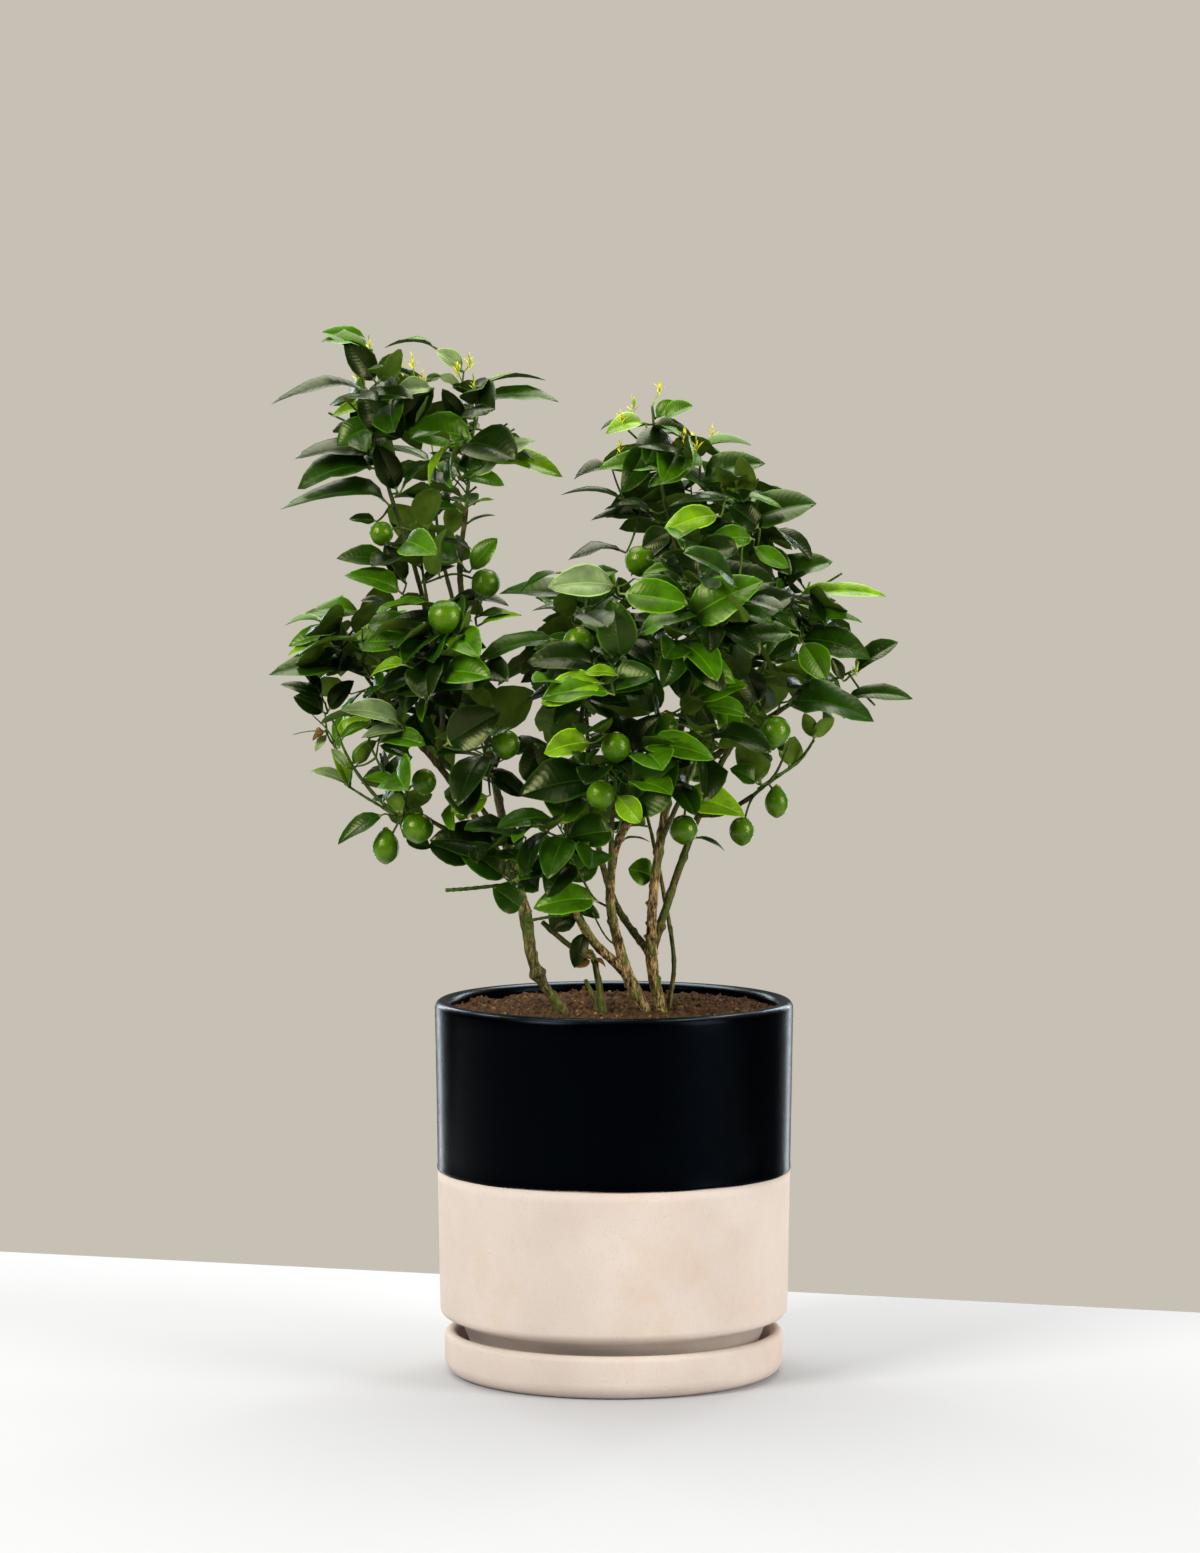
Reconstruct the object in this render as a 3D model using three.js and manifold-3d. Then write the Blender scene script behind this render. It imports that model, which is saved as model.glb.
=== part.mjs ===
// A key lime tree grown as a many-stemmed bush in a round clay pot that stands in its saucer.
// Units are millimetres, +Z is up, and the origin is the middle of the saucer's flat underside.
// The bush is seen from the front along +Y, with +X to the right.

import * as THREE from "three";
import { mergeVertices } from "three/addons/utils/BufferGeometryUtils.js";
import Module from "manifold-3d";

const wasm = await Module();
wasm.setup();

// Gap left between pieces that touch, and the number of sides of each turned piece
const CLEARANCE = 0.3;
const TURNED_SIDES = 24;

// Saucer, pot, glaze and soil
const SAUCER = { radius: 142, height: 36, wall: 10.5, floor: 8, corner: 13 };
const POT = { rimRadius: 150, baseRadius: 145.5, top: 313, shoulder: 55, wall: 13, floor: 28 };
const POT_FOOT = { radius: 116, waist: [119.5, 14], underside: [128, 35], round: 7 };
const POT_INSIDE = { floorRadius: 108, wallRadius: 133, rise: 24 };
const GLAZE = { bottom: 171, thickness: 0.9, insideDepth: 26 };
const SOIL = { level: 301, flatRadius: 75, edgeRise: 3, floorRadius: 107.2, wallRadius: 132.4, rise: 25 };

// Limbs are lofts with this many sides, and a ring every so many millimetres
const LIMB = { sides: 6, ringSpacing: 55 };
const FLARE = { gain: 0.5, height: 9 };
const STEM_FOOT = SOIL.level + CLEARANCE;

// A stem rises from the soil: its foot, the points it passes, and its radii at foot and tip
const stem = (name, foot, by, radii) => ({ name, by: [[...foot, STEM_FOOT], ...by], radii, grounded: true });
const STEMS = [
  stem("left_stem", [-41, -8], [[-63, -12, 337], [-76, -10, 386]], [4.0, 4.9]),
  stem("middle_stem", [26, 15], [[18, 12, 319], [10, 10, 335]], [4.6, 5.4]),
  stem("right_stem", [40, 15], [[34, 14, 328], [31, 12, 350]], [4.4, 5.2]),
  stem("thin_stem", [53, 26], [[54, 32, 345], [45, 44, 400], [31, 58, 447]], [2.0, 1.7]),
  stem("short_stem", [-9, 4], [[-13, 2, 333], [-24, -2, 352], [-44, 8, 364]], [2.1, 1.6]),
];
const CUT_SHOOT = stem("cut_shoot", [-13, 4], [[-18, 3, 316], [-24, 2, 329]], [2.0, 1.7]);

// A bough leaves another limb at a share of that limb's length
const bough = (name, from, at, by, radii) => ({ name, from, at, by, radii });
const BOUGHS = [
  bough("left_main_bough", "left_stem", 1, [[-93, 14, 461], [-110, 16, 553], [-128, 8, 660], [-123, 2, 722]],
    [4.3, 1.9]),
  bough("left_bough", "left_stem", 1, [[-92, -24, 430], [-137, -30, 500], [-172, -26, 540]], [3.7, 2.4]),
  bough("left_rising_bough", "left_bough", 0.72, [[-144, -12, 573], [-162, 0, 660], [-186, 2, 735]],
    [2.4, 1.8]),
  bough("left_waist_bough", "left_rising_bough", 0.4, [[-148, -26, 610], [-152, -38, 634]], [1.9, 1.6]),
  bough("left_low_bough", "left_bough", 0.3, [[-128, -40, 452], [-158, -48, 470]], [2.3, 1.7]),
  bough("left_foot_bough", "left_bough", 0.12, [[-84, -42, 412]], [2.0, 1.8]),
  bough("left_inner_bough", "left_main_bough", 0.26, [[-95, -14, 480], [-98, -38, 492]], [2.2, 1.8]),
  bough("left_front_bough", "left_main_bough", 0.42, [[-112, -14, 540], [-126, -52, 572]], [2.3, 1.7]),
  bough("left_back_bough", "left_main_bough", 0.52, [[-121, 48, 590], [-143, 72, 670]], [2.3, 1.7]),
  bough("left_rear_bough", "left_main_bough", 0.16, [[-112, 50, 470], [-148, 78, 512]], [2.6, 1.8]),
  bough("long_bough", "middle_stem", 1, [[-3, 5, 400], [12, 3, 460], [78, 0, 512], [140, -2, 556]],
    [4.2, 2.2]),
  bough("middle_left_bough", "middle_stem", 1, [[-18, -4, 363], [-39, -18, 402]], [3.9, 3.4]),
  bough("front_bough", "middle_left_bough", 1, [[-37, -28, 450], [-26, -50, 560]], [3.1, 2.0]),
  bough("front_low_bough", "front_bough", 0.14, [[-42, -48, 436]], [2.0, 1.7]),
  bough("centre_bough", "long_bough", 0.3, [[-2, -26, 455], [0, -56, 482]], [2.3, 1.8]),
  bough("right_main_bough", "right_stem", 1, [[34, 9, 410], [50, 10, 510], [70, 12, 600], [92, 6, 672]],
    [4.5, 2.0]),
  bough("right_outer_bough", "right_stem", 1, [[58, 22, 430], [84, 45, 495], [108, 66, 535]], [3.6, 2.2]),
  bough("back_bough", "right_stem", 0.96, [[0, 50, 392], [-18, 78, 460], [-22, 84, 520]], [3.2, 2.0]),
  bough("right_droop_bough", "right_outer_bough", 0.5, [[92, 14, 468], [116, -4, 484]], [2.2, 1.8]),
  bough("right_low_bough", "right_main_bough", 0.34, [[54, -14, 480], [58, -32, 492]], [2.2, 1.8]),
  bough("right_front_bough", "right_main_bough", 0.54, [[58, -24, 556], [62, -48, 586]], [2.4, 1.8]),
  bough("right_back_bough", "right_main_bough", 0.56, [[68, 48, 595], [76, 70, 650]], [2.4, 1.8]),
  bough("right_shoulder_bough", "right_main_bough", 0.72, [[100, 15, 617], [128, 8, 632]], [2.1, 1.7]),
  bough("right_crest_bough", "right_main_bough", 0.76, [[56, 4, 672], [42, 0, 728]], [2.2, 1.7]),
];

// A mass of foliage: the limb it grows on, the middle and radius of its space, its side shoots and its seed
const mass = (name, on, middle, radius, shoots, seed) => ({ name, on, middle, radius, shoots, seed });
const MASSES = [
  mass("foliage_left_top", "left_rising_bough", [-206, 0, 808], 72, 5, 9),
  mass("foliage_left_top_inner", "left_main_bough", [-116, 0, 784], 72, 6, 16),
  mass("foliage_left_waist", "left_waist_bough", [-160, -30, 682], 60, 3, 8),
  mass("foliage_left_arm", "left_bough", [-222, -15, 604], 68, 3, 27),
  mass("foliage_left_front", "left_front_bough", [-130, -88, 608], 64, 5, 22),
  mass("foliage_left_low", "left_low_bough", [-190, -58, 508], 68, 4, 4),
  mass("foliage_left_inner", "left_inner_bough", [-104, -76, 512], 62, 3, 19),
  mass("foliage_left_foot", "left_foot_bough", [-86, -74, 432], 58, 5, 6),
  mass("foliage_left_upper_back", "left_back_bough", [-150, 84, 735], 62, 3, 24),
  mass("foliage_left_lower_back", "left_rear_bough", [-170, 94, 585], 76, 5, 22),
  mass("foliage_right_top", "right_crest_bough", [34, 0, 782], 64, 3, 22),
  mass("foliage_right_upper", "right_main_bough", [112, -4, 720], 72, 3, 24),
  mass("foliage_right_arm", "right_shoulder_bough", [170, 0, 650], 68, 3, 18),
  mass("foliage_right_tip", "long_bough", [192, 0, 576], 62, 3, 9),
  mass("foliage_centre_front", "front_bough", [-24, -96, 618], 72, 3, 17),
  mass("foliage_right_front", "right_front_bough", [62, -86, 638], 70, 6, 22),
  mass("foliage_centre_low", "centre_bough", [0, -104, 516], 62, 4, 9),
  mass("foliage_front_low", "front_low_bough", [-40, -96, 446], 54, 3, 26),
  mass("foliage_right_low", "right_low_bough", [70, -74, 520], 62, 3, 29),
  mass("foliage_right_low_outer", "right_droop_bough", [136, -36, 510], 62, 3, 17),
  mass("foliage_right_upper_back", "right_back_bough", [77, 90, 716], 72, 5, 10),
  mass("foliage_right_middle_back", "right_outer_bough", [130, 98, 606], 78, 3, 1),
  mass("foliage_centre_back", "back_bough", [-20, 104, 602], 78, 3, 9),
  mass("foliage_low_back", "thin_stem", [14, 86, 494], 62, 6, 4),
];

// A fruit: the mass it hangs in, its middle, its diameter, and its length as a share of that
const fruit = (inMass, at, size, stretch = 1) => ({ inMass, at, size, stretch });
const FRUITS = [
  fruit("foliage_left_waist", [-194, -35, 701], 20),
  fruit("foliage_left_waist", [-107, -46, 659], 24),
  fruit("foliage_left_front", [-138, -112, 632], 28),
  fruit("foliage_left_inner", [-90, -92, 525], 23),
  fruit("foliage_left_low", [-158, -70, 495], 20, 1.08),
  fruit("foliage_left_low", [-163, -80, 457], 26, 1.1),
  fruit("foliage_left_low", [-190, -60, 440], 23, 1.3),
  fruit("foliage_right_front", [22, -62, 680], 25),
  fruit("foliage_right_low", [40, -92, 547], 23),
  fruit("foliage_centre_low", [0, -132, 524], 24),
  fruit("foliage_centre_low", [-42, -88, 499], 20),
  fruit("foliage_centre_low", [-11, -126, 485], 24),
  fruit("foliage_right_low_outer", [132, -62, 538], 26),
  fruit("foliage_right_low_outer", [137, -20, 476], 20, 1.35),
  fruit("foliage_right_low_outer", [106, -24, 454], 21, 1.15),
  fruit("foliage_right_low", [57, -72, 455], 24),
  fruit("foliage_centre_front", [-30, -100, 612], 26),
];
const FRUIT = { sides: 7, rows: 4, clear: 5 };

// Shoots of a mass: how far they reach, how they lean, and the spacing of their rings
const SHOOT = { reach: 0.6, candidates: 12, ringSpacing: 34, radii: [0.9, 0.9], shortest: 8 };
const SHOOT_LEAN = { drop: 0.5, hangingDrop: 0.1, arch: 0.3, sag: 0.1 };

// Leaves: length in mm, widest width as a share of it, and the shape of the blade
const LEAF = { length: 69, vary: 0.22, shortest: 42, width: 0.46, thickness: 1.3, root: 0.6, spacing: 11 };
const LEAF_POSE = { forward: 0.3, outward: 0.4, rise: 0.1, fall: 0.5, lean: 1.4, roll: 1.9 };
const LEAF_BEND = { least: 0.1, more: 0.2 };
// The ridge of a bent blade stands higher, so that the upper side stays above the under side
const LEAF_RIDGE = { at: 0.48, foot: 0.5, perBow: 0.105 };
const BLADE_OUTLINE = [[0.3, 0.47], [0.68, 0.43]];
const BLADE_SPOTS = [
  [0.25, 0], [0.48, 0], [0.72, 0], [0.97, 0],
  [0.35, 0.3], [0.35, -0.3], [0.66, 0.3], [0.66, -0.3],
];
const TRIES = [
  { turn: 0, share: 1 },
  ...[0.7, -0.7].map((turn) => ({ turn, share: 0.95 })),
  ...[1.5, -1.5].map((turn) => ({ turn, share: 0.85 })),
  ...[2.3, -2.3, 3.1].map((turn) => ({ turn, share: 0.75 })),
];

// A mass may reach this many radii from its middle; the margins are least distances in mm
const SPREAD = 1.25;
const BORDER_MARGIN = 0.2;
const SHOOT_MARGIN = 2;
const LIMB_MARGIN = 1.0;
const LEAF_MARGIN = 9;
const FRUIT_MARGIN = 4;
const LIMB_SAMPLES = 48;

const UP = new THREE.Vector3(0, 0, 1);
const GOLDEN_ANGLE = Math.PI * (3 - Math.sqrt(5));
const vector = (point) => new THREE.Vector3(...point);

// Repeatable random numbers between 0 and 1
function seededRandom(seed) {
  let state = seed * 7919 + 17;
  return () => {
    state = (state * 16807) % 2147483647;
    return state / 2147483647;
  };
}

// A closed geometry as a solid, without the flat faces that a pole leaves
function solidOf(geometry) {
  geometry.deleteAttribute("normal");
  geometry.deleteAttribute("uv");
  const merged = mergeVertices(geometry, 1e-4);
  const corners = merged.index.array;
  const faces = [];
  for (let i = 0; i < corners.length; i += 3) {
    const [a, b, c] = corners.slice(i, i + 3);
    if (a !== b && b !== c && c !== a) faces.push(a, b, c);
  }
  return solidFrom(merged.attributes.position.array, faces);
}

function solidFrom(coordinates, faces) {
  const vertProperties = new Float32Array(coordinates);
  const triVerts = new Uint32Array(faces);
  return new wasm.Manifold(new wasm.Mesh({ numProp: 3, vertProperties, triVerts }));
}

// A named mesh of a solid
function meshOf(name, solid, material) {
  const { vertProperties, triVerts } = solid.getMesh();
  const geometry = new THREE.BufferGeometry();
  geometry.setAttribute("position", new THREE.BufferAttribute(vertProperties, 3));
  geometry.setIndex(new THREE.BufferAttribute(triVerts, 1));
  geometry.computeVertexNormals();
  const mesh = new THREE.Mesh(geometry, material);
  mesh.name = name;
  return mesh;
}

// The largest connected piece of a solid
function largestPiece(solid) {
  const pieces = solid.decompose();
  return pieces.reduce((best, piece) => (piece.volume() > best.volume() ? piece : best));
}

// A closed solid through rings of points, with a flat cap at each end
function loft(rings) {
  const sides = rings[0].length;
  const coordinates = rings.flat().flatMap((point) => point.toArray());
  const faces = [];
  const last = (rings.length - 1) * sides;
  for (let ring = 0; ring < last; ring += sides) {
    for (let side = 0; side < sides; side++) {
      const next = (side + 1) % sides;
      faces.push(ring + side, ring + next, ring + sides + next);
      faces.push(ring + side, ring + sides + next, ring + sides + side);
    }
  }
  for (let side = 1; side + 1 < sides; side++) {
    faces.push(0, side + 1, side);
    faces.push(last, last + side, last + side + 1);
  }
  return solidFrom(coordinates, faces);
}

// A tapering limb or twig along the given centres: regular rings square to the path
function taperedLoft(centres, radii, sides, footNormal) {
  const rings = [];
  let across = new THREE.Vector3();
  centres.forEach((centre, i) => {
    const before = centres[Math.max(i - 1, 0)];
    const after = centres[Math.min(i + 1, centres.length - 1)];
    const along = i === 0 && footNormal ? footNormal.clone() : after.clone().sub(before).normalize();
    if (i === 0) across.crossVectors(along, new THREE.Vector3(0.31, 0.95, 0.05));
    across = across.clone().addScaledVector(along, -across.dot(along)).normalize();
    const up = new THREE.Vector3().crossVectors(along, across);
    const ring = [];
    for (let side = 0; side < sides; side++) {
      const angle = (2 * Math.PI * side) / sides;
      const point = centre.clone().addScaledVector(across, radii[i] * Math.cos(angle));
      ring.push(point.addScaledVector(up, radii[i] * Math.sin(angle)));
    }
    rings.push(ring);
  });
  return loft(rings);
}

// A turned solid from a profile of [radius, height] points that starts and ends on the axis or closes
function turned(profile, sides = TURNED_SIDES) {
  const points = profile.map(([radius, height]) => new THREE.Vector2(radius, height));
  return solidOf(new THREE.LatheGeometry(points, sides).rotateX(Math.PI / 2));
}

// Points of an arc about [x, y] from one angle to another, in degrees
function arc([x, y], radius, from, to, steps) {
  return Array.from({ length: steps + 1 }, (_, i) => {
    const angle = THREE.MathUtils.degToRad(from + ((to - from) * i) / steps);
    return [x + radius * Math.cos(angle), y + radius * Math.sin(angle)];
  });
}

// Saucer: flat floor, rounded lower corner and a round lip
function saucer() {
  const { radius, height, wall, floor, corner } = SAUCER;
  const lip = wall / 2;
  const inside = radius - wall;
  return turned([
    [0, 0],
    ...arc([radius - corner, corner], corner, -90, 0, 2),
    ...arc([radius - lip, height - lip], lip, 0, 180, 3),
    [inside, floor],
    [0, floor],
  ]);
}

const potRadiusAt = (height) =>
  THREE.MathUtils.mapLinear(height, POT.shoulder, POT.top, POT.baseRadius, POT.rimRadius);

// Pot: the raw clay body, cut back by the glaze's thickness above the glaze line
function pot() {
  const { wall, floor, top, shoulder } = POT;
  const { radius, waist, underside, round } = POT_FOOT;
  const foot = SAUCER.floor + CLEARANCE;
  const back = GLAZE.thickness + CLEARANCE;
  const lip = wall / 2;
  const inside = potRadiusAt(top) - wall;
  return turned([
    [0, foot],
    [radius, foot],
    [waist[0], foot + waist[1]],
    [underside[0], foot + underside[1]],
    ...arc([potRadiusAt(shoulder) - round, shoulder], round, -70, 0, 2),
    [potRadiusAt(GLAZE.bottom), GLAZE.bottom],
    [potRadiusAt(GLAZE.bottom) - back, GLAZE.bottom],
    ...arc([potRadiusAt(top) - lip, top - lip], lip - back, 0, 180, 3),
    [inside + back, top - GLAZE.insideDepth],
    [inside, top - GLAZE.insideDepth],
    [POT_INSIDE.wallRadius, foot + floor + POT_INSIDE.rise],
    [POT_INSIDE.floorRadius, foot + floor],
    [0, foot + floor],
  ]);
}

// Glaze: a thin coat over the upper wall, the lip and the top of the inner wall
function glaze() {
  const { wall, top } = POT;
  const { bottom, thickness, insideDepth } = GLAZE;
  const lip = wall / 2;
  const lipMiddle = [potRadiusAt(top) - lip, top - lip];
  const inside = potRadiusAt(top) - wall;
  const low = bottom + CLEARANCE;
  const high = top - insideDepth + CLEARANCE;
  const outer = [[potRadiusAt(low), low], ...arc(lipMiddle, lip, 0, 180, 3), [inside, high]];
  const inner = [
    [inside + thickness, high],
    ...arc(lipMiddle, lip - thickness, 180, 0, 3),
    [potRadiusAt(low) - thickness, low],
  ];
  return turned([...outer, ...inner, outer[0]]);
}

// Soil: fills the pot to just below the rim, flat where the stems stand
function soil() {
  const foot = SAUCER.floor + 2 * CLEARANCE + POT.floor;
  const inside = potRadiusAt(POT.top) - POT.wall - CLEARANCE;
  const { level, flatRadius, edgeRise, floorRadius, wallRadius, rise } = SOIL;
  return turned([
    [0, foot],
    [floorRadius, foot],
    [wallRadius, foot + rise],
    [inside - CLEARANCE, level + edgeRise],
    [(inside + flatRadius) / 2, level + edgeRise],
    [flatRadius, level],
    [0, level],
  ]);
}

// Limbs: the path through a limb's points, and its radius at a share of its length
function planLimbs() {
  const limbs = new Map();
  for (const plan of [...STEMS, ...BOUGHS]) {
    const start = plan.from ? [limbs.get(plan.from).path.getPoint(plan.at)] : [];
    const path = new THREE.CatmullRomCurve3([...start, ...plan.by.map(vector)], false, "catmullrom", 0.5);
    limbs.set(plan.name, { ...plan, path });
  }
  return limbs;
}

function limbRadius(limb, share) {
  const radius = THREE.MathUtils.lerp(...limb.radii, share);
  if (!limb.grounded) return radius;
  const height = limb.path.getPoint(share).z - STEM_FOOT;
  return radius + limb.radii[0] * FLARE.gain * Math.exp(-height / FLARE.height);
}

// A limb's solid, thicker and longer by "extra" where it stands for the room that it needs
function limbSolid(limb, extra = 0) {
  const count = Math.max(2, Math.round(limb.path.getLength() / LIMB.ringSpacing)) + (limb.grounded ? 2 : 0);
  const shares = Array.from({ length: count + 1 }, (_, i) => (i / count) ** (limb.grounded ? 1.6 : 1));
  const centres = shares.map((share) => limb.path.getPoint(share));
  const radii = shares.map((share) => limbRadius(limb, share) + extra);
  centres[0].addScaledVector(limb.grounded ? UP : limb.path.getTangent(0), -extra);
  centres[count].addScaledVector(limb.path.getTangent(1), extra);
  return taperedLoft(centres, radii, LIMB.sides, limb.grounded ? UP : null);
}

// Each limb is cut clear of those that come before it
function growLimbs(limbs) {
  const rooms = [];
  const solids = new Map();
  for (const limb of limbs.values()) {
    let solid = limbSolid(limb);
    if (limb.name === "short_stem") solid = solid.add(limbSolid(planPath(CUT_SHOOT)));
    for (const room of rooms) solid = solid.subtract(room);
    solids.set(limb.name, largestPiece(solid));
    rooms.push(limbSolid(limb, CLEARANCE));
  }
  return solids;
}

const planPath = (plan) => ({
  ...plan,
  path: new THREE.CatmullRomCurve3(plan.by.map(vector), false, "catmullrom", 0.5),
});

// Points along every limb with the limb's radius there
function sampleLimbs(limbs) {
  const samples = [];
  for (const limb of limbs.values()) {
    for (let i = 0; i <= LIMB_SAMPLES; i++) {
      const share = i / LIMB_SAMPLES;
      samples.push({ limb: limb.name, at: limb.path.getPoint(share), radius: limbRadius(limb, share) });
    }
  }
  return samples;
}

// How far a point lies inside its own mass's space, which borders on each other mass's space at a plane
function depthInSpace(point, own, spaces) {
  let depth = SPREAD * own.radius - point.distanceTo(own.centre);
  for (const other of spaces) {
    if (other === own) continue;
    const mine = point.distanceToSquared(own.centre) - own.radius ** 2;
    const theirs = point.distanceToSquared(other.centre) - other.radius ** 2;
    depth = Math.min(depth, (theirs - mine) / (2 * own.centre.distanceTo(other.centre)));
  }
  return depth;
}

// A shoot bends from its heading towards its end: ring centres along a quadratic curve
function shootAlong(start, bend, end, radii) {
  const curve = new THREE.QuadraticBezierCurve3(start, bend, end);
  const count = Math.max(2, Math.round(start.distanceTo(end) / SHOOT.ringSpacing));
  const centres = curve.getPoints(count);
  return { centres, radii: centres.map((_, i) => THREE.MathUtils.lerp(...radii, i / count)) };
}

const shootClear = (shoot, own, spaces, samples) =>
  shoot.centres.every(
    (centre, i) =>
      (i === 0 || depthInSpace(centre, own, spaces) > SHOOT_MARGIN) &&
      samples.every((sample) => centre.distanceTo(sample.at) > sample.radius + shoot.radii[i] + LIMB_MARGIN),
  );

// The point, heading and length along a shoot's straight stretches
function placeOnShoot(shoot, distance) {
  let left = distance;
  for (let i = 0; i + 1 < shoot.centres.length; i++) {
    const step = shoot.centres[i + 1].clone().sub(shoot.centres[i]);
    const length = step.length();
    if (left <= length || i + 2 === shoot.centres.length) {
      const heading = step.normalize();
      return { at: shoot.centres[i].clone().addScaledVector(heading, Math.min(left, length)), heading };
    }
    left -= length;
  }
}

const shootLength = (shoot) =>
  shoot.centres.slice(1).reduce((sum, centre, i) => sum + centre.distanceTo(shoot.centres[i]), 0);

// A direction square to a heading, turned round it by an angle
function sideways(heading, angle) {
  const reference = Math.abs(heading.z) > 0.9 ? new THREE.Vector3(1, 0, 0) : UP;
  const across = new THREE.Vector3().crossVectors(heading, reference).normalize();
  const other = new THREE.Vector3().crossVectors(heading, across);
  return across.multiplyScalar(Math.cos(angle)).addScaledVector(other, Math.sin(angle));
}

// A random point of the mass's ball
function pointInBall(own, random) {
  const height = 2 * random() - 1;
  const angle = 2 * Math.PI * random();
  const reach = SHOOT.reach * own.radius * Math.cbrt(random());
  const flat = reach * Math.sqrt(1 - height * height);
  const offset = new THREE.Vector3(flat * Math.cos(angle), flat * Math.sin(angle), reach * height);
  return own.centre.clone().add(offset);
}

// The end of the next shoot: of a few random points, the one that lies furthest from the twigs there are
function nextShootEnd(own, spaces, taken, random) {
  let best = null;
  let widest = 0;
  for (let i = 0; i < SHOOT.candidates; i++) {
    const point = pointInBall(own, random);
    const room = Math.min(...taken.map((other) => other.distanceTo(point)));
    if (room > widest && depthInSpace(point, own, spaces) > SHOOT.shortest) {
      widest = room;
      best = point;
    }
  }
  return best;
}

function nearestPlace(shoot, point, steps = 12) {
  const step = shootLength(shoot) / steps;
  const places = Array.from({ length: steps }, (_, i) => placeOnShoot(shoot, step * (i + 0.5)).at);
  return places.reduce((best, place) => (place.distanceTo(point) < best.distanceTo(point) ? place : best));
}

// The twigs of a mass: one leading stem, shoots that end in its fruits, and others that fill its space
function growShoots(own, bough, spaces, samples, random) {
  const heading = bough.path.getTangent(1);
  const start = bough.path.getPoint(1).addScaledVector(heading, CLEARANCE);
  const lead = own.centre.clone().sub(start).normalize().addScaledVector(UP, 0.5).normalize();
  const tip = own.centre.clone().addScaledVector(lead, 0.4 * own.radius);
  const bend = start.clone().addScaledVector(heading, 0.4 * start.distanceTo(tip));
  const stem = shootAlong(start, bend, tip, [bough.radii[1] * 0.9, SHOOT.radii[1]]);
  const shoots = [stem];
  const taken = [...stem.centres];
  for (let i = 0; i < own.shoots; i++) {
    const hanging = own.fruits[i];
    const goal = hanging ? hanging.centre : nextShootEnd(own, spaces, taken, random);
    if (!goal) continue;
    const drop = hanging ? SHOOT_LEAN.hangingDrop : -SHOOT_LEAN.drop;
    const aim = goal.clone().addScaledVector(UP, drop * nearestPlace(stem, goal).distanceTo(goal));
    const foot = nearestPlace(stem, aim);
    for (const share of hanging ? [1] : [1, 0.8, 0.6, 0.4]) {
      const end = foot.clone().lerp(goal, share);
      const lift = (hanging ? SHOOT_LEAN.arch : -SHOOT_LEAN.sag) * foot.distanceTo(end);
      const middle = foot.clone().lerp(end, 0.5).addScaledVector(UP, lift);
      const shoot = shootAlong(foot, middle, end, SHOOT.radii);
      if (shootLength(shoot) > SHOOT.shortest && shootClear(shoot, own, spaces, samples)) {
        shoots.push({ ...shoot, hanging });
        taken.push(...shoot.centres.slice(1));
        break;
      }
    }
  }
  return shoots;
}

// A leaf's frame, size and corners; its blade bends down towards the tip
function shapeLeaf(root, along, normal, length, droop) {
  const across = new THREE.Vector3().crossVectors(normal, along);
  const width = LEAF.width * length;
  const place = (u, v, lift = 0) =>
    root
      .clone()
      .addScaledVector(along, u * length)
      .addScaledVector(across, v * width)
      .addScaledVector(normal, lift - droop * length * u * u);
  const left = BLADE_OUTLINE.map(([u, v]) => place(u, v));
  const right = BLADE_OUTLINE.map(([u, v]) => place(u, -v));
  const half = LEAF.root / 2;
  const height = Math.max(LEAF.thickness, LEAF_RIDGE.foot + LEAF_RIDGE.perBow * droop * length);
  const ridge = place(LEAF_RIDGE.at, 0, height);
  const blade = [right[0], right[1], place(1, 0), left[1], left[0]];
  const corners = [place(0, 0, half), ...blade, ridge, place(0, 0, -half)];
  const spots = BLADE_SPOTS.map(([u, v]) => place(u, v));
  return { root, along, across, normal, length, width, droop, corners, spots };
}

// The upper side fans out from the ridge, the under side is a strip, and the root is a short upright edge
const LEAF_FACES = [
  ...[0, 1, 2, 3, 4, 5].flatMap((i) => [6, i, (i + 1) % 6]),
  ...[1, 0, 7, 0, 5, 7, 1, 7, 5, 2, 1, 5, 2, 5, 4, 3, 2, 4],
];
const leafSolid = ({ corners }) => solidFrom(corners.flatMap((corner) => corner.toArray()), LEAF_FACES);

// Whether a limb's sample lies in or next to a leaf's blade
function touchesLimb(leaf, sample) {
  const offset = sample.at.clone().sub(leaf.root);
  const u = offset.dot(leaf.along) / leaf.length;
  const reach = sample.radius + LIMB_MARGIN;
  if (u * leaf.length < -reach || u * leaf.length > leaf.length + reach) return false;
  const v = Math.abs(offset.dot(leaf.across));
  const half = u < 0.1 ? 0.12 * leaf.width : 0.5 * leaf.width;
  if (v > half + reach) return false;
  const blade = -leaf.droop * leaf.length * Math.max(u, 0) ** 2;
  return Math.abs(offset.dot(leaf.normal) - blade) < reach + LEAF.thickness + 0.5;
}

function leafFits(leaf, own, spaces, samples, leaves) {
  const corners = leaf.corners.slice(1, -1);
  if (corners.some((corner) => depthInSpace(corner, own, spaces) < BORDER_MARGIN)) return false;
  if (samples.some((sample) => touchesLimb(leaf, sample))) return false;
  const points = [...corners, ...leaf.spots];
  for (const item of own.fruits) {
    const reach = item.size / 2 + FRUIT_MARGIN;
    if (points.some((point) => point.distanceTo(item.centre) < reach)) return false;
  }
  return !leaves.some((other) =>
    other.spots.some((spot) => leaf.spots.some((mine) => mine.distanceTo(spot) < LEAF_MARGIN)),
  );
}

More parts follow.
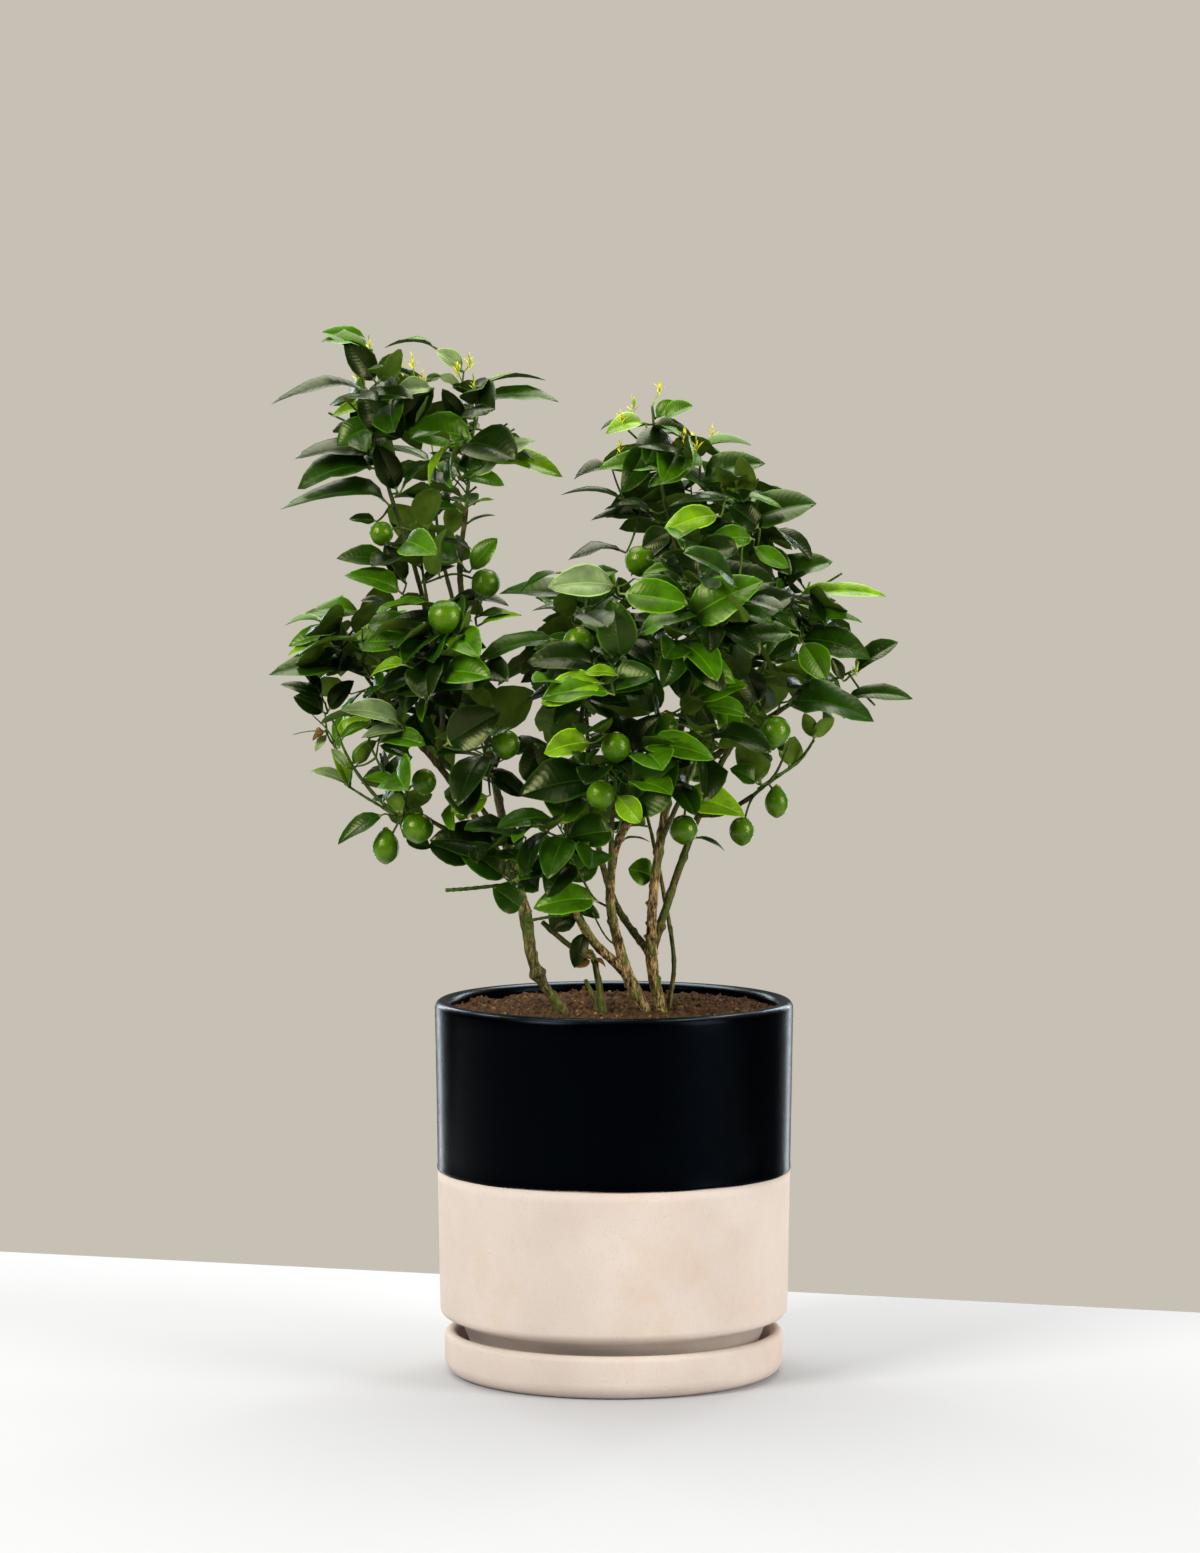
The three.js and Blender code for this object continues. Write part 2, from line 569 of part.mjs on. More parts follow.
// Leaves stand round each shoot by the golden angle, from its tip back to its foot
function growLeaves(own, shoots, spaces, samples, random) {
  const { forward, rise, fall, lean } = LEAF_POSE;
  const leaves = [];
  const twigs = shoots.flatMap(sampleShoot);
  shoots.forEach((shoot, number) => {
    const length = shootLength(shoot);
    const last = shoot.hanging ? (shoot.hanging.size * shoot.hanging.stretch) / 2 + FRUIT.clear : 0.6;
    const count = Math.floor((length - last - 6) / LEAF.spacing) + 1;
    for (let k = 0; k < count; k++) {
      const { at, heading } = placeOnShoot(shoot, length - last - k * LEAF.spacing);
      const size = LEAF.length * (1 + LEAF.vary * (random() - 0.5) * 2);
      const [turn, roll, bend] = [random(), random(), random()];
      const outward = at.clone().sub(own.centre).divideScalar(own.radius);
      outward.add(new THREE.Vector3(at.x, at.y, 0).normalize().multiplyScalar(0.3));
      const near = [...samples, ...twigs.filter((twig) => twig.shoot !== shoot || twig.at.distanceTo(at) > 9)];
      for (const attempt of TRIES) {
        const angle = GOLDEN_ANGLE * (k + 3 * number) + turn + attempt.turn;
        const side = sideways(heading, angle);
        const along = heading.clone().multiplyScalar(k ? forward : 1);
        along.addScaledVector(side, k ? 1 : forward).addScaledVector(outward, LEAF_POSE.outward);
        along.addScaledVector(UP, rise - fall * bend).normalize();
        const normal = UP.clone().addScaledVector(outward, lean);
        normal.addScaledVector(along, -normal.dot(along)).normalize();
        normal.applyAxisAngle(along, LEAF_POSE.roll * (roll - 0.5));
        if (size * attempt.share < LEAF.shortest) continue;
        const droop = LEAF_BEND.least + LEAF_BEND.more * bend;
        const leaf = shapeLeaf(at, along, normal, size * attempt.share, droop);
        if (leafFits(leaf, own, spaces, near, leaves)) {
          leaves.push(leaf);
          break;
        }
      }
    }
  });
  return leaves;
}

// Points along a shoot, to keep leaves of other shoots off it
function sampleShoot(shoot) {
  const count = Math.ceil(shootLength(shoot) / 5);
  return Array.from({ length: count }, (_, i) => ({
    shoot,
    at: placeOnShoot(shoot, (shootLength(shoot) * (i + 0.5)) / count).at,
    radius: 0.2,
  }));
}

// A fruit is a slightly drawn-out ball about the end of its shoot
function fruitSolid(item) {
  const ball = new THREE.SphereGeometry(item.size / 2, FRUIT.sides, FRUIT.rows).rotateX(Math.PI / 2);
  return solidOf(ball.scale(1, 1, item.stretch).translate(...item.at));
}

function growMass(own, limbs, spaces, samples) {
  const random = seededRandom(own.seed);
  const bough = limbs.get(own.on);
  const others = samples.filter((sample) => sample.limb !== own.on);
  const shoots = growShoots(own, bough, spaces, others, random);
  const leaves = growLeaves(own, shoots, spaces, samples, random);
  const solids = [
    ...shoots.map((shoot) => taperedLoft(shoot.centres, shoot.radii, 3)),
    ...own.fruits.map(fruitSolid),
    ...leaves.map(leafSolid),
  ];
  return largestPiece(wasm.Manifold.union(solids).simplify(0.05));
}

function planSpaces() {
  const fruits = FRUITS.map((item) => ({ ...item, centre: vector(item.at) }));
  return MASSES.map((plan) => ({
    ...plan,
    centre: vector(plan.middle),
    fruits: fruits.filter((item) => item.inMass === plan.name),
  }));
}

const MATERIALS = {
  clay: new THREE.MeshStandardMaterial({ color: "#e9d9c9", roughness: 0.85, metalness: 0 }),
  glaze: new THREE.MeshStandardMaterial({ color: "#05080d", roughness: 0.3, metalness: 0 }),
  soil: new THREE.MeshStandardMaterial({ color: "#4a3015", roughness: 0.95, metalness: 0 }),
  bark: new THREE.MeshStandardMaterial({ color: "#8a7350", roughness: 0.8, metalness: 0 }),
  foliage: new THREE.MeshStandardMaterial({ color: "#2f5a23", roughness: 0.4, metalness: 0 }),
};

const tree = new THREE.Group();
tree.add(meshOf("saucer", saucer(), MATERIALS.clay));
tree.add(meshOf("pot", pot(), MATERIALS.clay));
tree.add(meshOf("pot_glaze", glaze(), MATERIALS.glaze));
tree.add(meshOf("soil", soil(), MATERIALS.soil));

const limbs = planLimbs();
for (const [name, solid] of growLimbs(limbs)) tree.add(meshOf(name, solid, MATERIALS.bark));

const spaces = planSpaces();
const samples = sampleLimbs(limbs);
for (const own of spaces) {
  tree.add(meshOf(own.name, growMass(own, limbs, spaces, samples), MATERIALS.foliage));
}

export default tree;
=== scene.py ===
import math

import bpy
import numpy as np
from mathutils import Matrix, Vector


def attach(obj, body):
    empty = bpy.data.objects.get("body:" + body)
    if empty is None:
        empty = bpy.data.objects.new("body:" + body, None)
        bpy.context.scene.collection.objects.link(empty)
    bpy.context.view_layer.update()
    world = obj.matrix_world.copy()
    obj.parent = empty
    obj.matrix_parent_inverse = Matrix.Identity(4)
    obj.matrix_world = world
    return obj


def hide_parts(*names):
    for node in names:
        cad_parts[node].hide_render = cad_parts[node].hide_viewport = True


# A key lime tree in its half-glazed clay pot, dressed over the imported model.
# Lengths are in millimetres, as in the tree's plan, and become metres where a mesh is made.

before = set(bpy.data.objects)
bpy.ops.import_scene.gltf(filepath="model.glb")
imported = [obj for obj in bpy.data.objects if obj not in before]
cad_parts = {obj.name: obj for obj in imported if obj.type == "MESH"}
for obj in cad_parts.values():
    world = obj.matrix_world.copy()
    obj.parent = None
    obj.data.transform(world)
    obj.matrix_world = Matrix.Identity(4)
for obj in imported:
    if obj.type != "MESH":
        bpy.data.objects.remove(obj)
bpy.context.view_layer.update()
print("frame:", len(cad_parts), "nodes")

mm = 0.001
upward = np.array([0.0, 0.0, 1.0])
goldenAngle = math.pi * (3 - math.sqrt(5))
clearance = 0.3  # between two pieces that would otherwise touch


# Vectors brought to length 1
def unit(vectors):
    return vectors / np.linalg.norm(vectors, axis=-1, keepdims=True)


# Angles round a ring, evenly apart
def ringAngles(sides):
    return 2 * math.pi * np.arange(sides) / sides


# A quadratic curve from start to end that heads for the bend on its way, at shares t of its run
def bentCurve(start, bend, end, t):
    return (1 - t) ** 2 * start + 2 * (1 - t) * t * bend + t**2 * end


# Repeatable numbers from 0 to 1: each state is 16807 times the last one, modulo 2147483647
def numberStream(seed):
    state = seed * 7919 + 17
    while True:
        state = (state * 16807) % 2147483647
        yield state / 2147483647


# Points in millimetres and sets of faces, each with its own count of corners, as an object of the part
def addPiece(name, points, faceSets, materials, nodes=(), faceMaterials=None, uv=None):
    mesh = bpy.data.meshes.new(name)
    counts = np.concatenate([np.full(len(faces), faces.shape[1]) for faces in faceSets])
    corners = np.concatenate([faces.ravel() for faces in faceSets]).astype(np.int32)
    starts = np.concatenate([[0], np.cumsum(counts)[:-1]]).astype(np.int32)
    mesh.vertices.add(len(points))
    mesh.vertices.foreach_set("co", (np.asarray(points) * mm).astype(np.float32).ravel())
    mesh.loops.add(len(corners))
    mesh.loops.foreach_set("vertex_index", corners)
    mesh.polygons.add(len(counts))
    mesh.polygons.foreach_set("loop_start", starts)
    for material in materials:
        mesh.materials.append(material)
    if faceMaterials is not None:
        mesh.polygons.foreach_set("material_index", faceMaterials.astype(np.int32))
    mesh.polygons.foreach_set("use_smooth", np.ones(len(counts), bool))
    if uv is not None:
        layer = mesh.uv_layers.new(name="blade")
        layer.data.foreach_set("uv", uv[corners].astype(np.float32).ravel())
    mesh.update(calc_edges=True)
    mesh.validate()
    piece = bpy.data.objects.new(name, mesh)
    bpy.context.scene.collection.objects.link(piece)
    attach(piece, "root")
    if nodes:
        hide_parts(*nodes)
    return piece


# Quads between each ring and the next, and on request a fan from each end ring to its pole,
# whose points follow the rings; the rings may also close on themselves
def ringFaces(rings, sides, poles=True, closed=False):
    ring, side = np.meshgrid(np.arange(rings if closed else rings - 1), np.arange(sides), indexing="ij")
    following, after = (ring + 1) % rings * sides, (side + 1) % sides
    here = ring * sides
    quads = np.stack([here + side, here + after, following + after, following + side], -1).reshape(-1, 4)
    if not poles:
        return [quads]
    turn, last = np.arange(sides), (rings - 1) * sides
    following = (turn + 1) % sides
    foot = np.stack([np.full(sides, rings * sides), following, turn], -1)
    head = np.stack([np.full(sides, rings * sides + 1), last + turn, last + following], -1)
    return [quads, np.vstack([foot, head])]


# The same faces once for each of many copies that have the same number of points
def repeatFaces(faces, copies, pointsEach):
    return (faces[None] + (np.arange(copies) * pointsEach)[:, None, None]).reshape(-1, faces.shape[1])


# Joined copies of smaller surfaces: points and face sets of each, one after another
def joinSurfaces(surfaces):
    points, faceSets, offset = [], [], 0
    for piecePoints, pieceFaces in surfaces:
        points.append(piecePoints)
        faceSets += [faces + offset for faces in pieceFaces]
        offset += len(piecePoints)
    return np.vstack(points), faceSets


# A smooth bumpy field: a sum of sine waves in seeded directions, of wavelengths between two limits
def bumpyField(x, y, seed, shortest, longest, waves=28):
    stream = numberStream(seed)
    total = np.zeros(np.broadcast(x, y).shape)
    for _ in range(waves):
        length = shortest * (longest / shortest) ** next(stream)
        angle, phase = 2 * math.pi * next(stream), 2 * math.pi * next(stream)
        total += length * np.sin(2 * math.pi * (x * math.cos(angle) + y * math.sin(angle)) / length + phase)
    return total / (longest * math.sqrt(waves / 2))


# Screen colour from 0 to 255 as the linear colour of a socket
def screenColour(red, green, blue):
    values = np.array([red, green, blue]) / 255
    linear = np.where(values <= 0.04045, values / 12.92, ((values + 0.055) / 1.055) ** 2.4)
    return (*[float(value) for value in linear], 1.0)


# A material with some of its shader's sockets set
def newMaterial(name, sockets):
    material = bpy.data.materials.new(name)
    material.use_nodes = True
    shader = material.node_tree.nodes["Principled BSDF"]
    for socket, value in sockets.items():
        shader.inputs[socket].default_value = value
    return material


# A material with a look's roughness and, where it has them, its specular level, tint, IOR and one colour
def newFinish(name, look):
    keys = {"roughness": "Roughness", "specular": "Specular IOR Level", "tint": "Specular Tint", "ior": "IOR"}
    sockets = {socket: look[key] for key, socket in keys.items() if key in look}
    if "colour" in look:
        sockets["Base Color"] = screenColour(*look["colour"])
    return newMaterial(name, sockets)


# A node whose sockets are given numbers, or the outputs of other nodes
def addNode(material, kind, sockets=(), **settings):
    node = material.node_tree.nodes.new(kind)
    for setting, value in settings.items():
        setattr(node, setting, value)
    for socket, value in dict(sockets).items():
        if isinstance(value, bpy.types.NodeSocket):
            material.node_tree.links.new(value, node.inputs[socket])
        else:
            node.inputs[socket].default_value = value
    return node


# Noise over the piece's own space: features about as wide as the grain, in millimetres
def addNoise(material, grain, detail=4.0, stretch=(1, 1, 1), roughness=0.55):
    place = addNode(material, "ShaderNodeTexCoord").outputs["Object"]
    place = addNode(material, "ShaderNodeMapping", {"Vector": place, "Scale": stretch}).outputs["Vector"]
    sockets = {"Vector": place, "Scale": 1000 / grain, "Detail": detail, "Roughness": roughness}
    return addNode(material, "ShaderNodeTexNoise", sockets).outputs["Fac"]


# Colours along a value: each stop is a place from 0 to 1 and its colour
def addRamp(material, value, stops):
    node = addNode(material, "ShaderNodeValToRGB", {"Fac": value})
    ramp = node.color_ramp
    while len(ramp.elements) < len(stops):
        ramp.elements.new(0.5)
    for element, (place, colour) in zip(ramp.elements, stops):
        element.position = place
        element.color = colour
    return node.outputs["Color"]


# Screen colours at two or more places along a value
def addTones(material, value, places, colours):
    return addRamp(material, value, [(place, screenColour(*colour)) for place, colour in zip(places, colours)])


# Greys at two or more places along a value
def addGreys(material, value, places, greys):
    return addRamp(material, value, [(place, (grey, grey, grey, 1)) for place, grey in zip(places, greys)])


# One number below the lower of two heights in metres, another above the upper, and a slope between them
def addHeightRange(material, heights, numbers):
    place = addNode(material, "ShaderNodeTexCoord").outputs["Object"]
    height = addNode(material, "ShaderNodeSeparateXYZ", {"Vector": place}).outputs["Z"]
    sockets = {"Value": height, "From Min": heights[0], "From Max": heights[1]}
    sockets.update({"To Min": numbers[0], "To Max": numbers[1]})
    return addNode(material, "ShaderNodeMapRange", sockets).outputs["Result"]


# One sum, product or other operation on two values
def addMath(material, operation, first, second=0.0):
    return addNode(material, "ShaderNodeMath", {0: first, 1: second}, operation=operation).outputs[0]


# The second colour over the first by a share; each can be a colour or another node's output
def mixColours(material, share, first, second):
    node = addNode(material, "ShaderNodeMix", data_type="RGBA")
    for index, value in ((0, share), (6, first), (7, second)):
        if isinstance(value, bpy.types.NodeSocket):
            material.node_tree.links.new(value, node.inputs[index])
        else:
            node.inputs[index].default_value = value
    return node.outputs[2]


# Heights, each with its relief in millimetres, stacked as bump on the shader's normal
def addRelief(material, heights):
    normal = None
    for height, relief in heights:
        sockets = {"Height": height, "Distance": relief * mm, "Strength": 1.0}
        if normal:
            sockets["Normal"] = normal
        normal = addNode(material, "ShaderNodeBump", sockets).outputs["Normal"]
    connect(material, normal, "Normal")


# Relief from noises, each given by its grain, its height and its detail
def addNoiseRelief(material, *noises):
    addRelief(material, [(addNoise(material, grain, detail), relief) for grain, relief, detail in noises])


# Base colour that runs between two screen colours with a noise, given by its grain, detail and two places
def addMottle(material, mottle, colours):
    grain, detail, places = mottle
    connect(material, addTones(material, addNoise(material, grain, detail), places, colours), "Base Color")


# An output led to a socket of the shader
def connect(material, output, socket):
    shader = material.node_tree.nodes["Principled BSDF"]
    material.node_tree.links.new(output, shader.inputs[socket])


# Pot, glaze and saucer; "hand" is how far the thrown wall strays from a true circle

potPlan = {
    "rimRadius": 150, "baseRadius": 145.5, "top": 313, "shoulder": 55, "wall": 13, "floor": 28, "foot": 8.3,
    "footRadius": 116, "waist": (119.5, 14), "underside": (128, 35), "heel": (141, 48.2), "round": 7,
    "wallFoot": 62, "insideFloorRadius": 108, "insideWallRadius": 133, "insideRise": 24, "sides": 224,
    "hand": 0.16,
}
glazePlan = {"bottom": 171, "thickness": 0.9, "insideDepth": 26, "bead": 0.45, "sway": 0.9}
saucerPlan = {"radius": 142, "height": 36, "wall": 10.5, "floor": 8, "corner": 13}
clayLook = {
    "roughness": 0.82, "specular": 0.35, "clouds": ((202, 187, 175), (212, 198, 187)),
    "stain": (198, 162, 130), "stainShare": 0.4, "speck": (170, 140, 114), "speckShare": 0.3,
    "cloudNoise": (70, 5, (0.3, 0.7)), "stainNoise": (120, 6, (0.52, 0.72)), "speckNoise": (1.6, 2, (0.6, 0.72)),
    "throwing": (9, 0.1), "pores": (0.7, 0.07),  # grain and relief in millimetres
}
glazeLook = {
    "roughness": 0.24, "roughnesses": (0.22, 0.3), "tint": (0.5, 0.75, 1.0, 1), "ior": 1.5,
    "depths": ((0, 0, 1), (0, 1, 3)), "depthNoise": (40, 3, (0.3, 0.75)), "glossGrain": 18,
    "sags": (14, 0.12, 2), "peel": (2.2, 0.015, 2),  # grain, relief in millimetres and detail
    "lip": (0.309, 0.3128), "shine": (0.03, 0.9),  # heights in metres of the dull wall and the shining lip
}


# Points of an arc about a middle, from one angle to another in degrees
def arcPoints(middle, radius, first, last, steps):
    angles = np.radians(np.linspace(first, last, steps + 1))
    return [(middle[0] + radius * math.cos(angle), middle[1] + radius * math.sin(angle)) for angle in angles]


# A run of points between two profile points, without the last one
def runPoints(first, last, steps):
    shares = np.linspace(0, 1, steps + 1)[:-1]
    return [tuple((1 - share) * np.array(first) + share * np.array(last)) for share in shares]


# The wall leans out evenly from the shoulder to the rim
def potRadius(height):
    plan = potPlan
    share = (height - plan["shoulder"]) / (plan["top"] - plan["shoulder"])
    return plan["baseRadius"] + share * (plan["rimRadius"] - plan["baseRadius"])


# A profile turned about the upright axis: radius r at turn a becomes r (1 + sway), where sway is a slow
# wave of the hand in turn and height; the first and last profile points are poles unless it closes
def turnProfile(profile, sides, closed=False, hand=0.0, lift=None):
    profile = np.array(profile, float)
    turn = ringAngles(sides)
    body = profile if closed else profile[1:-1]
    radius, height = body[:, :1], body[:, 1:]
    sway = hand * (np.sin(2 * turn + height / 60) + 0.6 * np.sin(3 * turn - height / 41 + 1.3))
    radius = radius + sway * np.clip(radius / 100, 0, 1)
    if lift is not None:
        height = height + lift(turn, height)
    rings = np.stack([radius * np.cos(turn), radius * np.sin(turn), height + 0 * turn], -1).reshape(-1, 3)
    if closed:
        return rings, ringFaces(len(body), sides, poles=False, closed=True)
    poles = [[0, 0, profile[0, 1]], [0, 0, profile[-1, 1]]]
    return np.vstack([rings, poles]), ringFaces(len(body), sides)


# Clay: faint clouds, a few warmer stains and fine specks over the rings of the throwing
def makeClay():
    look = clayLook
    clay = newFinish("raw pinkish clay", look)
    (cloud, cloudDetail, cloudPlaces), (stain, stainDetail, stainPlaces) = look["cloudNoise"], look["stainNoise"]
    speck, speckDetail, speckPlaces = look["speckNoise"]
    clouds = addNoise(clay, cloud, cloudDetail)
    specks = addNoise(clay, speck, speckDetail)
    colour = addTones(clay, clouds, cloudPlaces, look["clouds"])
    stains = addNoise(clay, stain, stainDetail, roughness=0.7)
    stained = addGreys(clay, stains, stainPlaces, (0, look["stainShare"]))
    colour = mixColours(clay, stained, colour, screenColour(*look["stain"]))
    speckled = addGreys(clay, specks, speckPlaces, (0, look["speckShare"]))
    connect(clay, mixColours(clay, speckled, colour, screenColour(*look["speck"])), "Base Color")
    (ringGrain, ringRelief), (poreGrain, poreRelief) = look["throwing"], look["pores"]
    throwing = addNoise(clay, ringGrain, 2, stretch=(0.15, 0.15, 3))
    addRelief(clay, [(throwing, ringRelief), (addNoise(clay, poreGrain, 3), poreRelief)])
    return clay


# Glaze: near black, with a breath of uneven gloss and a thicker lip that shines
def makeGlaze():
    look = glazeLook
    glaze = newFinish("near-black navy glaze", look)
    connect(glaze, addHeightRange(glaze, look["lip"], look["shine"]), "Specular IOR Level")
    addMottle(glaze, look["depthNoise"], look["depths"])
    breath = addNoise(glaze, look["glossGrain"], 3)
    connect(glaze, addGreys(glaze, breath, (0.3, 0.8), look["roughnesses"]), "Roughness")
    addNoiseRelief(glaze, look["sags"], look["peel"])
    return glaze


# The pot's profile from the middle of its foot out, up the wall, back by the glaze's thickness over the lip,
# and down inside to the middle of the floor
def makePot(clay):
    plan, back = potPlan, glazePlan["thickness"] + clearance
    top, wall, foot = plan["top"], plan["wall"], plan["foot"]
    lip, inside = wall / 2, potRadius(top) - wall
    bottom, depth = glazePlan["bottom"], glazePlan["insideDepth"]
    floor, wallFoot = foot + plan["floor"], plan["wallFoot"]
    profile = [
        *runPoints((0, foot), (plan["footRadius"] - 1, foot), 6),
        *arcPoints((plan["footRadius"] - 1.5, foot + 1.5), 1.5, -90, 0, 3),
        (plan["waist"][0], foot + plan["waist"][1]),
        *runPoints((plan["underside"][0], foot + plan["underside"][1]), plan["heel"], 3),
        *arcPoints((potRadius(plan["shoulder"]) - plan["round"], plan["shoulder"]), plan["round"], -70, 0, 8),
        *runPoints((potRadius(wallFoot), wallFoot), (potRadius(bottom), bottom), 12),
        (potRadius(bottom), bottom),
        *runPoints((potRadius(bottom) - back, bottom + 0.1), (potRadius(top) - back, top - lip), 6),
        *arcPoints((potRadius(top) - lip, top - lip), lip - back, 0, 180, 12),
        (inside + back, top - depth),
        *runPoints((inside, top - depth - 0.1), (plan["insideWallRadius"], floor + plan["insideRise"]), 6),
        *runPoints((plan["insideFloorRadius"], floor), (0, floor), 5),
        (0, floor),
    ]
    points, faces = turnProfile(profile, plan["sides"], hand=plan["hand"])
    addPiece("clay_pot", points, faces, [clay], ["pot"])


# The coat follows the wall outside and inside. Its lower edge swells to a bead and sways up and down round
# the pot by a sum of three waves, which die away a few millimetres above it
def makeGlazeCoat(glaze):
    plan, top, lip = glazePlan, potPlan["top"], potPlan["wall"] / 2
    low, high = plan["bottom"] + clearance, potPlan["top"] - plan["insideDepth"] + clearance
    inside = potRadius(top) - potPlan["wall"]
    bead = plan["bead"]
    outer = [
        (potRadius(low) + 0.1, low),
        (potRadius(low + 1) + bead, low + 1.0),
        (potRadius(low + 2.6) + 0.8 * bead, low + 2.6),
        *runPoints((potRadius(low + 6), low + 6), (potRadius(top), top - lip), 14),
        *arcPoints((potRadius(top) - lip, top - lip), lip, 0, 180, 18),
        *runPoints((inside, top - lip - 2), (inside, high), 4),
        (inside, high),
    ]
    inner = [
        (inside + plan["thickness"], high),
        *arcPoints((potRadius(top) - lip, top - lip), lip - plan["thickness"], 180, 0, 18),
        (potRadius(low) - plan["thickness"], low),
    ]

    def sway(turn, height):
        near = np.exp(-np.abs(height - low) / 5)
        waves = np.sin(3 * turn + 0.4) + 0.6 * np.sin(7 * turn + 2) + 0.35 * np.sin(17 * turn)
        return np.maximum(plan["sway"] * waves * 0.5 + 0.5, -0.25) * near * (height > 0)

    points, faces = turnProfile(outer + inner, potPlan["sides"], closed=True, hand=potPlan["hand"], lift=sway)
    addPiece("glaze_coat", points, faces, [glaze], ["pot_glaze"])


# The saucer's profile from the middle of its flat underside, round the corner, over the lip and in to the floor
def makeSaucer(clay):
    plan = saucerPlan
    radius, height, lip = plan["radius"], plan["height"], plan["wall"] / 2
    inside, corner = radius - plan["wall"], plan["corner"]
    profile = [
        *runPoints((0, 0), (radius - corner, 0), 6),
        *arcPoints((radius - corner, corner), corner, -90, 0, 9),
        *arcPoints((radius - lip, height - lip), lip, 0, 180, 12),
        *runPoints((inside, height - 8), (inside, plan["floor"] + 3), 3),
        *arcPoints((inside - 3, plan["floor"] + 3), 3, 0, -90, 4),
        *runPoints((inside - 6, plan["floor"]), (0, plan["floor"]), 5),
        (0, plan["floor"]),
    ]
    points, faces = turnProfile(profile, potPlan["sides"], hand=potPlan["hand"])
    addPiece("clay_saucer", points, faces, [clay], ["saucer"])


print("pot, glaze and saucer")
clay = makeClay()
makePot(clay)
makeGlazeCoat(makeGlaze())
makeSaucer(clay)

# Potting soil

soilPlan = {
    "level": 301, "edge": 304, "flatRadius": 75, "outer": 136.4, "foot": 36.6, "floorRadius": 107.2,
    "wallFoot": (132.4, 25), "wallTop": (134.4, 180), "relief": 2.4, "rings": 110, "sides": 320, "seed": 61,
    "crumbs": 1500, "crumbSize": (1.0, 4.2), "chips": 260, "chipSize": (1.2, 3.8),
    "toneNoise": (5, 8, (0.32, 0.68)), "lumps": (2.4, 1.2, 6), "grit": (0.6, 0.35, 3),
}
soilLooks = {
    "dark potting soil": ((40, 24, 13), (108, 76, 46)),
    "pale chips": ((106, 82, 42), (156, 128, 74)),
}


# Soil from dark to light in grains, with lumps and grit in its relief
def makeSoilMaterial(name):
    soil = newMaterial(name, {"Roughness": 0.95, "Specular IOR Level": 0.2})
    addMottle(soil, soilPlan["toneNoise"], soilLooks[name])
    addNoiseRelief(soil, soilPlan["lumps"], soilPlan["grit"])
    return soil


# The soil's height: level in the middle, rising to its edge half-way out, with coarse and fine bumps
def soilHeight(x, y):
    plan = soilPlan
    radius = np.hypot(x, y)
    rise = np.clip((radius - plan["flatRadius"]) / (plan["outer"] - plan["flatRadius"]) * 2, 0, 1)
    level = plan["level"] + (plan["edge"] - plan["level"]) * rise
    coarse = bumpyField(x, y, plan["seed"], 14, 60)
    fine = bumpyField(x, y, plan["seed"] + 1, 2.5, 10, 40)
    return level + plan["relief"] * (0.75 * coarse + 0.6 * fine)


# Lumps: balls of a few faces, each stretched and turned by its own numbers, half sunk in the soil
def crumbSurfaces(count, sizes, seed):
    rng = np.random.default_rng(seed)
    sides, rings = 6, 3
    turn = ringAngles(sides)
    tilt = math.pi * (np.arange(rings) + 1) / (rings + 1)
    ball = np.stack(
        [np.outer(np.sin(tilt), np.cos(turn)), np.outer(np.sin(tilt), np.sin(turn)),
         np.outer(-np.cos(tilt), np.ones(sides))], -1,
    ).reshape(-1, 3)
    ball = np.vstack([ball, [[0, 0, -1], [0, 0, 1]]])
    size = sizes[0] + (sizes[1] - sizes[0]) * rng.random(count) ** 2.2
    shapes = ball[None] * (0.65 + 0.7 * rng.random((count, 1, 3)))
    shapes = shapes * (0.8 + 0.4 * rng.random((count, len(ball), 1)))
    shapes *= size[:, None, None] / 2
    spin = 2 * math.pi * rng.random(count)
    cosine, sine = np.cos(spin)[:, None], np.sin(spin)[:, None]
    x = shapes[..., 0] * cosine - shapes[..., 1] * sine
    y = shapes[..., 0] * sine + shapes[..., 1] * cosine
    reach = (soilPlan["outer"] - 4) * np.sqrt(rng.random(count))
    angle = 2 * math.pi * rng.random(count)
    atX, atY = (reach * np.cos(angle))[:, None], (reach * np.sin(angle))[:, None]
    z = shapes[..., 2] + soilHeight(atX, atY) + 0.15 * size[:, None]
    points = np.stack([x + atX, y + atY, z], -1).reshape(-1, 3)
    return points, [repeatFaces(faces, count, len(ball)) for faces in ringFaces(rings, sides)]


# Soil: rings from the floor of the pot up its wall and in over the bumpy top, with crumbs and chips on it
def makeSoil():
    plan = soilPlan
    soil, chips = (makeSoilMaterial(name) for name in soilLooks)
    radii = plan["outer"] * np.linspace(1, 0.01, plan["rings"])[:, None]
    turn = ringAngles(plan["sides"])
    x, y = radii * np.cos(turn), radii * np.sin(turn)
    top = np.stack([x, y, soilHeight(x, y)], -1)
    side, wallFoot = [], plan["wallFoot"]
    for radius, height in ((plan["floorRadius"], plan["foot"]), (wallFoot[0], plan["foot"] + wallFoot[1]),
                           plan["wallTop"]):
        side.append(np.stack([radius * np.cos(turn), radius * np.sin(turn), np.full(len(turn), height)], -1))
    rings = np.concatenate([side, top]).reshape(-1, 3)
    poles = [[0, 0, plan["foot"]], [0, 0, float(soilHeight(0.0, 0.0))]]
    body = np.vstack([rings, poles]), ringFaces(len(side) + len(top), plan["sides"])
    crumbs = crumbSurfaces(plan["crumbs"], plan["crumbSize"], plan["seed"])
    points, faces = joinSurfaces([body, crumbs])
    addPiece("potting_soil", points, faces, [soil], ["soil"])
    points, faces = crumbSurfaces(plan["chips"], plan["chipSize"], plan["seed"] + 9)
    addPiece("soil_chips", points, faces, [chips])


print("soil")
makeSoil()

# Plan of the tree: each limb's parent and the share of its length where it leaves, the points it passes,
# and its radii at foot and tip

